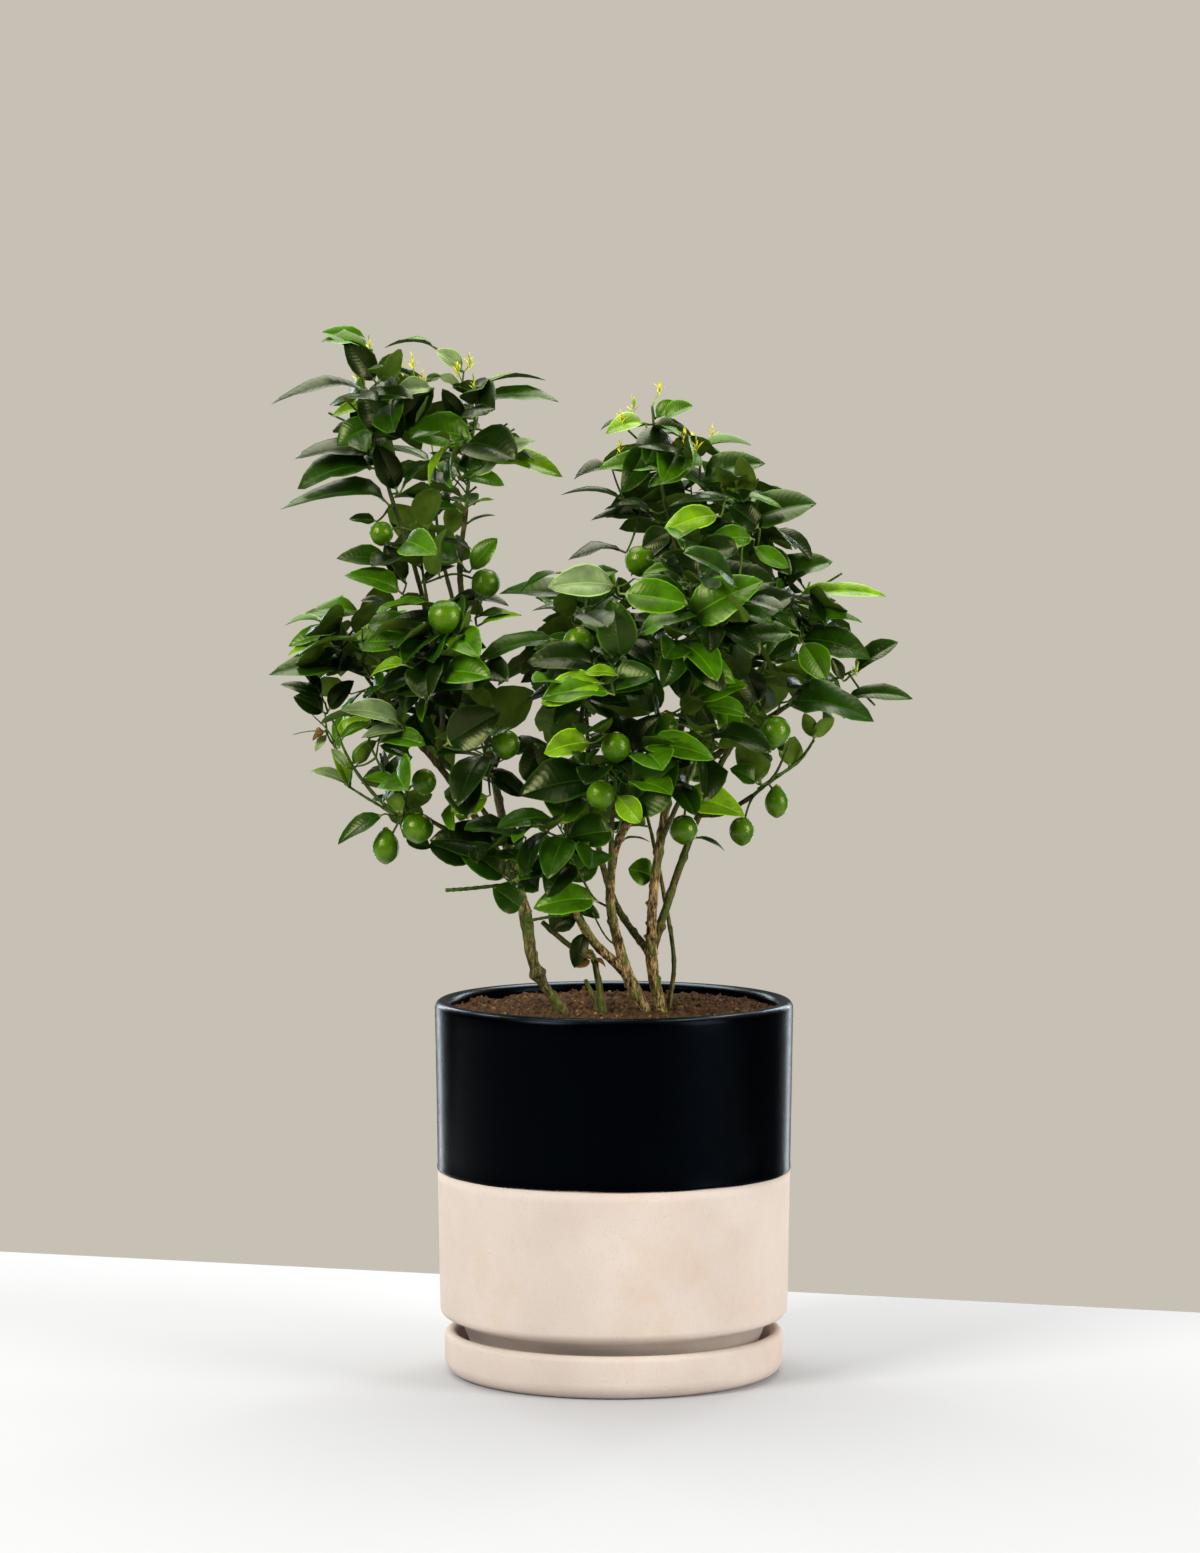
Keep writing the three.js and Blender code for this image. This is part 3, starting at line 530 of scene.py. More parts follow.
stemFoot = 301.3
stems = {
    "left_stem": [(-41, -8), [(-65, -12, 339), (-74, -10, 386)], (3.4, 5.4)],
    "middle_stem": [(26, 15), [(18, 12, 319), (10, 10, 335)], (4.6, 5.4)],
    "right_stem": [(40, 15), [(34, 14, 328), (31, 12, 350)], (4.4, 5.2)],
    "thin_stem": [(46, 27), [(50.5, 32, 343), (42, 44, 398), (32, 58, 447)], (2.0, 1.6)],
    "short_stem": [(-9, 4), [(-14, 2, 333), (-19, 0, 350), (-36, 2, 357), (-60, 8, 377)], (2.9, 2.2)],
    "cut_shoot": [(-13, 4), [(-18, 3, 316), (-24, 2, 329)], (2.0, 1.7)],
}
boughs = {
    "left_main_bough": ["left_stem", 1,
                        [(-93, 14, 461), (-110, 16, 553), (-128, 8, 660), (-123, 2, 722)], (4.3, 1.9)],
    "left_bough": ["left_stem", 1, [(-92, -24, 430), (-137, -30, 500), (-172, -26, 540)], (3.7, 2.4)],
    "left_rising_bough": ["left_bough", 0.72, [(-144, -12, 573), (-162, 0, 660), (-186, 2, 735)], (2.4, 1.8)],
    "left_waist_bough": ["left_rising_bough", 0.4, [(-148, -26, 610), (-152, -38, 634)], (1.9, 1.6)],
    "left_low_bough": ["left_bough", 0.3, [(-128, -40, 452), (-158, -48, 470)], (2.3, 1.7)],
    "left_foot_bough": ["left_bough", 0.12, [(-84, -42, 412)], (2.0, 1.8)],
    "left_inner_bough": ["left_main_bough", 0.26, [(-95, -14, 480), (-98, -38, 492)], (2.2, 1.8)],
    "left_front_bough": ["left_main_bough", 0.42, [(-112, -14, 540), (-126, -52, 572)], (2.3, 1.7)],
    "left_back_bough": ["left_main_bough", 0.52, [(-121, 48, 590), (-143, 72, 670)], (2.3, 1.7)],
    "left_rear_bough": ["left_main_bough", 0.16, [(-112, 50, 470), (-148, 78, 512)], (2.6, 1.8)],
    "long_bough": ["middle_stem", 1, [(-3, 5, 400), (12, 3, 460), (78, 0, 512), (140, -2, 556)], (4.2, 2.2)],
    "middle_left_bough": ["middle_stem", 1, [(-18, -4, 363), (-39, -18, 402)], (3.9, 3.4)],
    "front_bough": ["middle_left_bough", 1, [(-37, -28, 450), (-26, -50, 560)], (3.1, 2.0)],
    "front_low_bough": ["front_bough", 0.14, [(-42, -48, 436)], (2.0, 1.7)],
    "centre_bough": ["long_bough", 0.3, [(-2, -26, 455), (0, -56, 482)], (2.3, 1.8)],
    "right_main_bough": ["right_stem", 1, [(34, 9, 410), (50, 10, 510), (70, 12, 600), (92, 6, 672)], (4.5, 2.0)],
    "right_outer_bough": ["right_stem", 1, [(58, 22, 430), (84, 45, 495), (108, 66, 535)], (3.6, 2.2)],
    "back_bough": ["right_stem", 0.96, [(0, 50, 392), (-18, 78, 460), (-22, 84, 520)], (3.2, 2.0)],
    "right_droop_bough": ["right_outer_bough", 0.5, [(92, 14, 468), (116, -4, 484)], (2.2, 1.8)],
    "right_low_bough": ["right_main_bough", 0.34, [(54, -14, 480), (58, -32, 492)], (2.2, 1.8)],
    "right_front_bough": ["right_main_bough", 0.54, [(58, -24, 556), (62, -48, 586)], (2.4, 1.8)],
    "right_back_bough": ["right_main_bough", 0.56, [(68, 48, 595), (76, 70, 650)], (2.4, 1.8)],
    "right_shoulder_bough": ["right_main_bough", 0.72, [(100, 15, 617), (128, 8, 632)], (2.1, 1.7)],
    "right_crest_bough": ["right_main_bough", 0.76, [(56, 4, 672), (42, 0, 728)], (2.2, 1.7)],
}


# A smooth curve through points: between two of them a cubic whose slope at each is half the way from
# its last neighbour to its next, with the end points mirrored
def curveThrough(points, shares):
    shares = np.clip(np.atleast_1d(shares), 0, 1)
    beyond = np.vstack([2 * points[0] - points[1], points, 2 * points[-1] - points[-2]])
    spot = shares * (len(points) - 1)
    cell = np.minimum(spot.astype(int), len(points) - 2)
    w = (spot - cell)[:, None]
    before, first, second, after = (beyond[cell + step] for step in range(4))
    slopeFirst, slopeSecond = (second - before) / 2, (after - first) / 2
    square = 3 * (second - first) - 2 * slopeFirst - slopeSecond
    cube = 2 * (first - second) + slopeFirst + slopeSecond
    return first + slopeFirst * w + square * w**2 + cube * w**3


# Every limb's points: a stem's start at the soil, a bough's at its place on its parent
def planLimbs():
    limbs = {}
    for name, (foot, by, radii) in stems.items():
        points = np.array([(*foot, stemFoot), *by], float)
        limbs[name] = {"name": name, "points": points, "radii": radii, "grounded": True}
    for name, (parent, share, by, radii) in boughs.items():
        start = curveThrough(limbs[parent]["points"], share)[0]
        points = np.vstack([start, np.array(by, float)])
        limbs[name] = {"name": name, "points": points, "radii": radii, "grounded": False}
    return limbs


# A limb thins evenly from foot to tip, and a stem flares where it meets the soil
def limbRadii(limb, shares):
    radii = limb["radii"][0] + (limb["radii"][1] - limb["radii"][0]) * shares
    if limb["grounded"]:
        height = curveThrough(limb["points"], shares)[:, 2] - stemFoot
        radii = radii + limb["radii"][0] * 0.2 * np.exp(-height / 9)
    return radii


# Points along every limb, with the limb's radius there
def sampleLimbs(limbs, count=48):
    places, radii, owners = [], [], []
    shares = np.arange(count + 1) / count
    for name, limb in limbs.items():
        if name == "cut_shoot":
            continue
        places.append(curveThrough(limb["points"], shares))
        radii.append(limbRadii(limb, shares))
        owners += [name] * (count + 1)
    return {"at": np.vstack(places), "radius": np.concatenate(radii), "limb": np.array(owners)}


limbs = planLimbs()
limbSamples = sampleLimbs(limbs)

# Stems and boughs. A knuckle is a swelling, given by its share of the stem's length and its height

barkPlan = {
    "ringEvery": 1.4, "sides": 20, "ridge": 0.085, "knotEvery": 20, "knotHeight": 0.3, "node": 0.1, "collar": 0.4,
    "knuckles": {"left_stem": (0.46, 0.75), "short_stem": (0.5, 0.2)}, "knuckleReach": 4,
    "ridges": ((3, 31, 0.6), (5, 17, 0.5), (7, 11, 0.35), (2, 23, 0.7), (1, 37, 0.8)),  # waves, pitch and share
    "greenBelow": 3.65, "rootDepth": 3, "seed": 300, "cutShoot": 77,
    "plates": (3.2, 1.2), "fibres": (0.9, 0.6), "mix": (0.6, 0.4), "middle": (0.45, 0.55),
    "streakGrain": 14, "streakShare": 0.7,
}
barkLooks = {
    "golden brown bark": {
        "dark": (36, 22, 8), "light": (206, 172, 112), "streak": (84, 104, 30), "canopyShade": (50, 50, 22)},
    "young green-brown bark": {
        "dark": (40, 38, 14), "light": (126, 116, 62), "streak": (76, 96, 28), "canopyShade": (44, 54, 20)},
    "green twig": {"dark": (40, 60, 14), "light": (88, 110, 40), "streak": (64, 98, 22)},
}
# Heights in metres over which the bark turns to its dark green among the leaves, partly painted shade, and its share
canopyShadePlan = {"heights": (0.4, 0.52), "shares": (0, 0.8)}


# Directions across a path, square to it: a reference turned into the plane that the path's heading leaves
def pathFrames(centres):
    heading = unit(np.gradient(centres, axis=0))
    mean = centres[-1] - centres[0]
    reference = np.eye(3)[np.argmin(np.abs(mean))]
    across = unit(reference - heading * (heading @ reference)[:, None])
    return heading, across, np.cross(heading, across)


# A round surface along a path: the centre plus r (across cos a + other sin a), with r given for each ring and side
def sweepPath(centres, radii):
    heading, across, other = pathFrames(centres)
    turn = ringAngles(radii.shape[1])
    spokes = across[:, None] * np.cos(turn)[None, :, None] + other[:, None] * np.sin(turn)[None, :, None]
    rings = (centres[:, None] + radii[:, :, None] * spokes).reshape(-1, 3)
    foot = centres[0] - 0.3 * radii[0].mean() * heading[0]
    tip = centres[-1] + 0.3 * radii[-1].mean() * heading[-1]
    return np.vstack([rings, foot, tip]), ringFaces(len(centres), len(turn))


# Bark: r = R (1 + ridges + lumps) with knots, the ridges waves round the limb that wander along it, a knot
# a rounded bump on a swollen node with a dent above it, and a collar where the limb leaves its parent
def barkRadii(limb, shares, length, seed):
    plan, stream = barkPlan, numberStream(seed)
    along = (shares * length)[:, None]
    turn = ringAngles(plan["sides"])[None]
    radii = limbRadii(limb, shares)[:, None]
    relief = np.zeros((len(shares), plan["sides"]))
    for waves, pitch, share in plan["ridges"]:
        phase = 2 * math.pi * next(stream)
        relief += share * np.sin(waves * turn + 0.8 * np.sin(2 * math.pi * along / pitch + phase) + phase)
        relief += 0.5 * share * np.sin(2 * math.pi * along / (0.31 * pitch) + phase) * np.cos(turn + phase)
    relief *= plan["ridge"] * 0.55
    knots, spot = [], plan["knotEvery"] * (0.3 + next(stream))
    while spot < length - 5:
        knots.append((spot, 2 * math.pi * next(stream), 0.5 + next(stream)))
        spot += plan["knotEvery"] * (0.6 + 0.8 * next(stream))
    for spot, angle, size in knots:
        apart = np.angle(np.exp(1j * (turn - angle)))
        near = np.exp(-((along - spot) / 2.6) ** 2 - (apart / 0.75) ** 2)
        dent = np.exp(-((along - spot - 3.4) / 1.4) ** 2 - (apart / 0.5) ** 2)
        relief += size * plan["knotHeight"] * (near - 0.45 * dent)
        relief += size * plan["node"] * np.exp(-(((along - spot) / 2.4) ** 2))
    if limb["name"] in plan["knuckles"]:
        share, swell = plan["knuckles"][limb["name"]]
        relief += swell * np.exp(-(((along / length - share) * length / plan["knuckleReach"]) ** 2))
    if not limb["grounded"]:
        relief += plan["collar"] * np.exp(-along / (2.2 * limb["radii"][0]))
    return radii * (1 + relief)


# Bark: pale plates over dark crevices, with fibres along the limb and green streaks; the crevices' dark is partly
# painted shade and the plates' pale partly painted highlight. Among the leaves it turns to a dark green, partly
# greener bark and partly painted shade
def makeBark(name):
    look, plan = barkLooks[name], barkPlan
    dark, light = look["dark"], look["light"]
    (plateGrain, plateRelief), (fibreGrain, fibreRelief) = plan["plates"], plan["fibres"]
    bark = newMaterial(name, {"Roughness": 0.85, "Specular IOR Level": 0.2})
    plates = addNoise(bark, plateGrain, 6, stretch=(1, 1, 0.35), roughness=0.7)
    fibres = addNoise(bark, fibreGrain, 4, stretch=(1, 1, 0.14))
    parts = [addMath(bark, "MULTIPLY", part, share) for part, share in zip((plates, fibres), plan["mix"])]
    grain = addMath(bark, "ADD", *parts)
    middle = [plan["middle"][0] * a + plan["middle"][1] * b for a, b in zip(dark, light)]
    streaks = addNoise(bark, plan["streakGrain"], 5, stretch=(1, 1, 0.5))
    streaks = addGreys(bark, streaks, (0.5, 0.6), (0, plan["streakShare"]))
    # Dark in the crevices and pale on the plates, where the relief below rises: partly the bark's own colour, partly
    # painted shade and painted highlight
    colour = addTones(bark, grain, (0.43, 0.51, 0.58), (dark, middle, light))
    colour = mixColours(bark, streaks, colour, screenColour(*look["streak"]))
    # Above the crown's foot the bark is mixed towards a dark green: partly greener bark, partly painted shade under
    # the leaves
    if "canopyShade" in look:
        share = addHeightRange(bark, canopyShadePlan["heights"], canopyShadePlan["shares"])
        colour = mixColours(bark, share, colour, screenColour(*look["canopyShade"]))
    connect(bark, colour, "Base Color")
    addRelief(bark, [(plates, plateRelief), (fibres, fibreRelief)])
    return bark


# The cut shoot stands beside the short stem and is joined to it
def makeLimbs(limbs):
    woody, greener = makeBark("golden brown bark"), makeBark("young green-brown bark")
    for number, (name, limb) in enumerate(limbs.items()):
        if name == "cut_shoot":
            continue
        surfaces = [limbSurface(limb, number)]
        if name == "short_stem":
            surfaces.append(limbSurface(limbs["cut_shoot"], barkPlan["cutShoot"]))
        points, faces = joinSurfaces(surfaces)
        thin = limb["radii"][0] < barkPlan["greenBelow"]
        addPiece("bark_" + name, points, faces, [greener if thin else woody], [name])


# A limb's bark, with a ring every so many millimetres of its curve; a stem's foot is sunk in the soil
def limbSurface(limb, number):
    fine = curveThrough(limb["points"], np.linspace(0, 1, 200))
    length = np.linalg.norm(np.diff(fine, axis=0), axis=1).sum()
    shares = np.linspace(0, 1, max(6, int(length / barkPlan["ringEvery"])))
    centres = curveThrough(limb["points"], shares)
    if limb["grounded"]:
        centres[0, 2] -= barkPlan["rootDepth"]
    return sweepPath(centres, barkRadii(limb, shares, length, barkPlan["seed"] + number))


print("stems and boughs")
makeLimbs(limbs)

# Masses of foliage: the limb each grows on, the middle and radius of its space, its side shoots and its seed

masses = {
    "left_top": ["left_rising_bough", (-206, 0, 808), 72, 5, 9],
    "left_top_inner": ["left_main_bough", (-116, 0, 784), 72, 6, 16],
    "left_waist": ["left_waist_bough", (-160, -30, 682), 60, 3, 8],
    "left_arm": ["left_bough", (-222, -15, 604), 68, 3, 27],
    "left_front": ["left_front_bough", (-130, -88, 608), 64, 5, 22],
    "left_low": ["left_low_bough", (-190, -58, 508), 68, 4, 4],
    "left_inner": ["left_inner_bough", (-104, -76, 512), 62, 3, 19],
    "left_foot": ["left_foot_bough", (-86, -74, 432), 58, 5, 6],
    "left_upper_back": ["left_back_bough", (-150, 84, 735), 62, 3, 24],
    "left_lower_back": ["left_rear_bough", (-170, 94, 585), 76, 5, 22],
    "right_top": ["right_crest_bough", (34, 0, 782), 64, 3, 22],
    "right_upper": ["right_main_bough", (112, -4, 720), 72, 3, 24],
    "right_arm": ["right_shoulder_bough", (170, 0, 650), 68, 3, 18],
    "right_tip": ["long_bough", (192, 0, 576), 62, 3, 9],
    "centre_front": ["front_bough", (-24, -96, 618), 72, 3, 17],
    "right_front": ["right_front_bough", (62, -86, 638), 70, 6, 22],
    "centre_low": ["centre_bough", (0, -104, 516), 62, 4, 9],
    "front_low": ["front_low_bough", (-40, -96, 446), 54, 3, 26],
    "right_low": ["right_low_bough", (70, -74, 520), 62, 3, 29],
    "right_low_outer": ["right_droop_bough", (136, -36, 510), 62, 3, 17],
    "right_upper_back": ["right_back_bough", (77, 90, 716), 72, 5, 10],
    "right_middle_back": ["right_outer_bough", (130, 98, 606), 78, 3, 1],
    "centre_back": ["back_bough", (-20, 104, 602), 78, 3, 9],
    "low_back": ["thin_stem", (14, 86, 494), 62, 6, 4],
}
# Each fruit's mass, middle, diameter and length as a share of that
fruits = [
    ("left_waist", (-192, -35, 703), 20, 1), ("left_waist", (-106, -46, 662), 24, 1),
    ("left_front", (-137, -112, 637), 28, 1), ("left_inner", (-89, -92, 532), 24, 1),
    ("left_low", (-156, -70, 500), 20, 1.08), ("left_low", (-161, -80, 463), 26, 0.95),
    ("left_low", (-188, -60, 445), 22, 1.18), ("right_front", (21, -62, 681), 25, 1),
    ("right_low", (40, -92, 547), 23, 1), ("centre_low", (1, -132, 532), 24, 1.05),
    ("centre_low", (-42, -88, 505), 20, 1), ("centre_low", (-11, -126, 493), 24, 1),
    ("right_low_outer", (132, -62, 541), 26, 1), ("right_low_outer", (135, -20, 479), 20, 1.18),
    ("right_low_outer", (106, -24, 456), 21, 1.12), ("right_low", (57, -72, 461), 24, 1),
    ("centre_front", (-29, -100, 615), 26, 1),
]
shootPlan = {
    "spread": 1.25, "reach": 0.6, "candidates": 12, "ringEvery": 34, "radius": 0.9, "shortest": 8,
    "drop": 0.5, "hangingDrop": 0.1, "arch": 0.3, "sag": 0.1, "margin": 2, "limbMargin": 1,
    "stemRise": 0.5, "stemReach": 0.4, "stemBend": 0.4, "stemTaper": 0.9, "shares": (1, 0.8, 0.6, 0.4),
}
leafPlan = {
    "length": 69, "vary": 0.22, "shortest": 42, "width": 0.46, "spacing": 11, "margin": 9, "fruitMargin": 4,
    "forward": 0.3, "ahead": 0.6, "outward": 0.4, "fromAxis": 0.3, "rise": 0.15, "fall": 0.4, "flat": 0.5,
    "lean": 0.8, "roll": 0.8, "bend": (0.1, 0.2), "thickness": 1.3, "border": 0.2, "first": 0.6, "phase": 0,
    "fruitGap": 5, "footGap": 6, "ownWood": 9, "woodWithin": 110, "twigRadius": 0.2, "fruitShown": 0.45,
}
finerLeafPlan = dict(
    leafPlan, length=58, vary=0.26, shortest=34, spacing=10, margin=6, fruitMargin=2, border=-6, phase=0.5,
)
# Places on a blade, as shares of its length and width: its outline, and the spots that keep leaves apart
bladeOutline = [(0.3, 0.47), (0.68, 0.43), (1, 0), (0.3, -0.47), (0.68, -0.43)]
bladeSpots = [(0.25, 0), (0.48, 0), (0.72, 0), (0.97, 0), (0.35, 0.3), (0.35, -0.3), (0.66, 0.3), (0.66, -0.3)]
# A leaf that doesn't fit is tried again with another turn and a smaller size
leafTries = [(0, 1), (0.7, 0.95), (-0.7, 0.95), (1.5, 0.85), (-1.5, 0.85), (2.3, 0.75), (-2.3, 0.75), (3.1, 0.75)]

spaceMiddles = np.array([plan[1] for plan in masses.values()], float)
spaceRadii = np.array([plan[2] for plan in masses.values()], float)


# How far points lie inside a mass's space: a ball, cut at the plane where another mass's ball is as near
def depthInSpace(points, own):
    offsets = np.atleast_2d(points)[:, None] - spaceMiddles
    powers = (offsets**2).sum(-1) - spaceRadii**2
    apart = np.linalg.norm(spaceMiddles - spaceMiddles[own], axis=1)
    apart[own] = 1
    walls = (powers - powers[:, own, None]) / (2 * apart)
    walls[:, own] = np.inf
    reach = shootPlan["spread"] * spaceRadii[own] - np.linalg.norm(offsets[:, own], axis=1)
    return np.minimum(reach, walls.min(axis=1))


# A shoot bends from its heading towards its end along a quadratic curve; "borne" is how far out it has leaves
def shootAlong(start, bend, end, radii, ringEvery=shootPlan["ringEvery"]):
    count = max(2, int(np.linalg.norm(end - start) / ringEvery + 0.5))
    centres = bentCurve(start, bend, end, np.linspace(0, 1, count + 1)[:, None])
    return {"centres": centres, "radii": np.linspace(radii[0], radii[1], count + 1), "fruit": None, "borne": 0}


# The length of a shoot along its centre line
def shootLength(shoot):
    return np.linalg.norm(np.diff(shoot["centres"], axis=0), axis=1).sum()


# Points and headings at distances along a shoot's straight stretches
def placesOnShoot(shoot, distances):
    steps = np.diff(shoot["centres"], axis=0)
    lengths = np.linalg.norm(steps, axis=1)
    ends = np.cumsum(lengths)
    cell = np.minimum(np.searchsorted(ends, distances), len(lengths) - 1)
    left = np.minimum(distances - (ends - lengths)[cell], lengths[cell])
    headings = steps[cell] / lengths[cell, None]
    return shoot["centres"][cell] + headings * left[:, None], headings


# The same for one distance
def placeOnShoot(shoot, distance):
    places, headings = placesOnShoot(shoot, np.array([distance]))
    return places[0], headings[0]


# Of a few places on a shoot, the one nearest to a point
def nearestPlace(shoot, point, steps=12):
    distances = shootLength(shoot) / steps * (np.arange(steps) + 0.5)
    places = placesOnShoot(shoot, distances)[0]
    return places[np.argmin(np.linalg.norm(places - point, axis=1))]


# Whether a shoot keeps to its mass's space and clear of the limbs
def shootClear(shoot, own, samples):
    if (depthInSpace(shoot["centres"][1:], own) <= shootPlan["margin"]).any():
        return False
    apart = np.linalg.norm(shoot["centres"][:, None] - samples["at"], axis=-1)
    return (apart > samples["radius"] + shoot["radii"][:, None] + shootPlan["limbMargin"]).all()


# Of a few points in the mass's ball, the one that lies furthest from the twigs there are
def nextShootEnd(own, taken, stream):
    best, widest = None, 0
    for _ in range(shootPlan["candidates"]):
        height, angle = 2 * next(stream) - 1, 2 * math.pi * next(stream)
        reach = shootPlan["reach"] * spaceRadii[own] * next(stream) ** (1 / 3)
        flat = reach * math.sqrt(1 - height * height)
        point = spaceMiddles[own] + [flat * math.cos(angle), flat * math.sin(angle), reach * height]
        room = np.linalg.norm(np.array(taken) - point, axis=1).min()
        if room > widest and depthInSpace(point, own)[0] > shootPlan["shortest"]:
            best, widest = point, room
    return best


# The twigs of a mass: one leading stem, shoots that end in its fruits, and others that fill its space
def growShoots(name, own, stream):
    plan = shootPlan
    limbName, _, ballRadius, shootCount, _ = masses[name]
    limb = limbs[limbName]
    ends = curveThrough(limb["points"], [0.9999, 1])
    heading = unit(ends[1] - ends[0])
    start = ends[1] + clearance * heading
    lead = unit(unit(spaceMiddles[own] - start) + plan["stemRise"] * upward)
    tip = spaceMiddles[own] + plan["stemReach"] * ballRadius * lead
    bend = start + plan["stemBend"] * np.linalg.norm(tip - start) * heading
    stem = shootAlong(start, bend, tip, (limb["radii"][1] * plan["stemTaper"], plan["radius"]))
    others = limbSamples["limb"] != limbName
    samples = {"at": limbSamples["at"][others], "radius": limbSamples["radius"][others]}
    shoots, taken = [stem], list(stem["centres"])
    hanging = [fruit for fruit in fruits if fruit[0] == name]
    for number in range(shootCount):
        fruit = hanging[number] if number < len(hanging) else None
        goal = np.array(fruit[1], float) if fruit else nextShootEnd(own, taken, stream)
        if goal is None:
            continue
        drop = plan["hangingDrop"] if fruit else -plan["drop"]
        aim = goal + drop * np.linalg.norm(nearestPlace(stem, goal) - goal) * upward
        foot = nearestPlace(stem, aim)
        for share in plan["shares"][:1] if fruit else plan["shares"]:
            end = foot + share * (goal - foot)
            lift = (plan["arch"] if fruit else -plan["sag"]) * np.linalg.norm(end - foot)
            shoot = shootAlong(foot, (foot + end) / 2 + lift * upward, end, (plan["radius"], plan["radius"]))
            if shootLength(shoot) > plan["shortest"] and shootClear(shoot, own, samples):
                shoot["fruit"] = fruit
                shoots.append(shoot)
                taken += list(shoot["centres"][1:])
                break
    return shoots


# A direction square to a heading, turned round it by an angle
def sideways(heading, angle):
    across = unit(np.cross(heading, [1, 0, 0] if abs(heading[2]) > 0.9 else upward))
    return across * math.cos(angle) + np.cross(heading, across) * math.sin(angle)


# A vector turned about an axis: v cos a + (axis x v) sin a + axis (axis . v) (1 - cos a)
def turnAbout(vector, axis, angle):
    return (vector * math.cos(angle) + np.cross(axis, vector) * math.sin(angle)
            + axis * (axis @ vector) * (1 - math.cos(angle)))


# Points u along and v across a blade that bends down with the square of u
def bladePoints(leaf, spots):
    u, v = np.array(spots, float).T[:, :, None]
    length = leaf["length"]
    return (leaf["root"] + u * length * leaf["along"] + v * leafPlan["width"] * length * leaf["across"]
            - leaf["droop"] * length * u**2 * leaf["normal"])


# Whether any sample of a limb or twig lies in or next to a leaf's blade
def touchesWood(leaf, samples):
    offset = samples["at"] - leaf["root"]
    along, v = offset @ leaf["along"], np.abs(offset @ leaf["across"])
    reach = samples["radius"] + shootPlan["limbMargin"]
    length = leaf["length"]
    width = leafPlan["width"] * length
    half = np.where(along < 0.1 * length, 0.12 * width, 0.5 * width)
    blade = -leaf["droop"] * length * np.maximum(along / length, 0) ** 2
    beside = (along >= -reach) & (along <= length + reach) & (v <= half + reach)
    return (beside & (np.abs(offset @ leaf["normal"] - blade) < reach + leafPlan["thickness"] + 0.5)).any()


# Whether a leaf keeps to its mass's space and clear of wood, fruit and the leaves there are
def leafFits(leaf, own, samples, hanging, leaves, plan):
    corners = bladePoints(leaf, bladeOutline)
    if (depthInSpace(corners, own) < plan["border"]).any() or touchesWood(leaf, samples):
        return False
    leaf["spots"] = bladePoints(leaf, bladeSpots)
    points = np.vstack([corners, leaf["spots"]])
    for fruit in hanging:
        reach = fruit[2] / 2 + plan["fruitMargin"]
        if (np.linalg.norm(points - fruit[1], axis=1) < reach).any():
            return False
    if not leaves:
        return True
    taken = np.vstack([other["spots"] for other in leaves])
    return np.linalg.norm(taken[:, None] - leaf["spots"], axis=-1).min() >= plan["margin"]


# Leaves stand round each shoot by the golden angle, from its tip back to its foot
def growLeaves(name, own, shoots, stream, plan, leaves):
    hanging = [fruit for fruit in fruits if fruit[0] == name]
    twigs = [sampleShoot(shoot) for shoot in shoots]
    twigPlaces, twigOwners = np.vstack(twigs), np.repeat(np.arange(len(shoots)), [len(twig) for twig in twigs])
    for number, shoot in enumerate(shoots):
        length, fruit = shootLength(shoot), shoot["fruit"]
        last = fruit[2] * fruit[3] / 2 + plan["fruitGap"] if fruit else plan["first"]
        last += plan["phase"] * plan["spacing"]
        for k in range(int((length - last - plan["footGap"]) // plan["spacing"]) + 1):
            distance = length - last - k * plan["spacing"]
            spot, heading = placeOnShoot(shoot, distance)
            size = plan["length"] * (1 + plan["vary"] * (next(stream) - 0.5) * 2)
            turn, roll, bend = next(stream), next(stream), next(stream)
            axisWay = unit(spot * [1, 1, 0])
            outward = (spot - spaceMiddles[own]) / spaceRadii[own] + plan["fromAxis"] * axisWay
            near = (twigOwners != number) | (np.linalg.norm(twigPlaces - spot, axis=1) > plan["ownWood"])
            samples = {
                "at": np.vstack([limbSamples["at"], twigPlaces[near]]),
                "radius": np.concatenate([limbSamples["radius"], np.full(near.sum(), plan["twigRadius"])]),
            }
            close = np.linalg.norm(samples["at"] - spot, axis=1) < plan["woodWithin"]
            samples = {key: values[close] for key, values in samples.items()}
            for extraTurn, share in leafTries:
                side = sideways(heading, goldenAngle * (k + 3 * number) + turn + extraTurn)
                along = heading * (plan["forward"] if k else plan["ahead"]) + side
                along = along + plan["outward"] * outward + (plan["rise"] - plan["fall"] * bend) * upward
                along = unit(along * [1, 1, plan["flat"]])
                normal = upward + plan["lean"] * unit(outward + axisWay)
                normal = turnAbout(unit(normal - (normal @ along) * along), along, plan["roll"] * (roll - 0.5))
                if size * share < plan["shortest"]:
                    continue
                leaf = {
                    "root": spot, "along": along, "normal": normal, "across": np.cross(normal, along),
                    "length": size * share, "droop": plan["bend"][0] + plan["bend"][1] * bend,
                    "rank": k, "mass": name, "shoot": shoot, "distance": distance,
                }
                if leafFits(leaf, own, samples, hanging, leaves, plan):
                    leaves.append(leaf)
                    break


# A leaf that would hide a fruit of its mass from outside the tree is left out
def hidesFruit(leaf, name):
    points = np.vstack([leaf["spots"], bladePoints(leaf, bladeOutline)])
    for fruit in fruits:
        if fruit[0] != name:
            continue
        offset = points - fruit[1]
        ahead = -offset[:, 1]
        aside = np.hypot(offset[:, 0], offset[:, 2])
        if ((ahead > 0) & (aside < leafPlan["fruitShown"] * fruit[2])).any():
            return True
    return False


# Points about 5 mm apart along a shoot
def sampleShoot(shoot):
    length = shootLength(shoot)
    count = math.ceil(length / 5)
    return placesOnShoot(shoot, length * (np.arange(count) + 0.5) / count)[0]


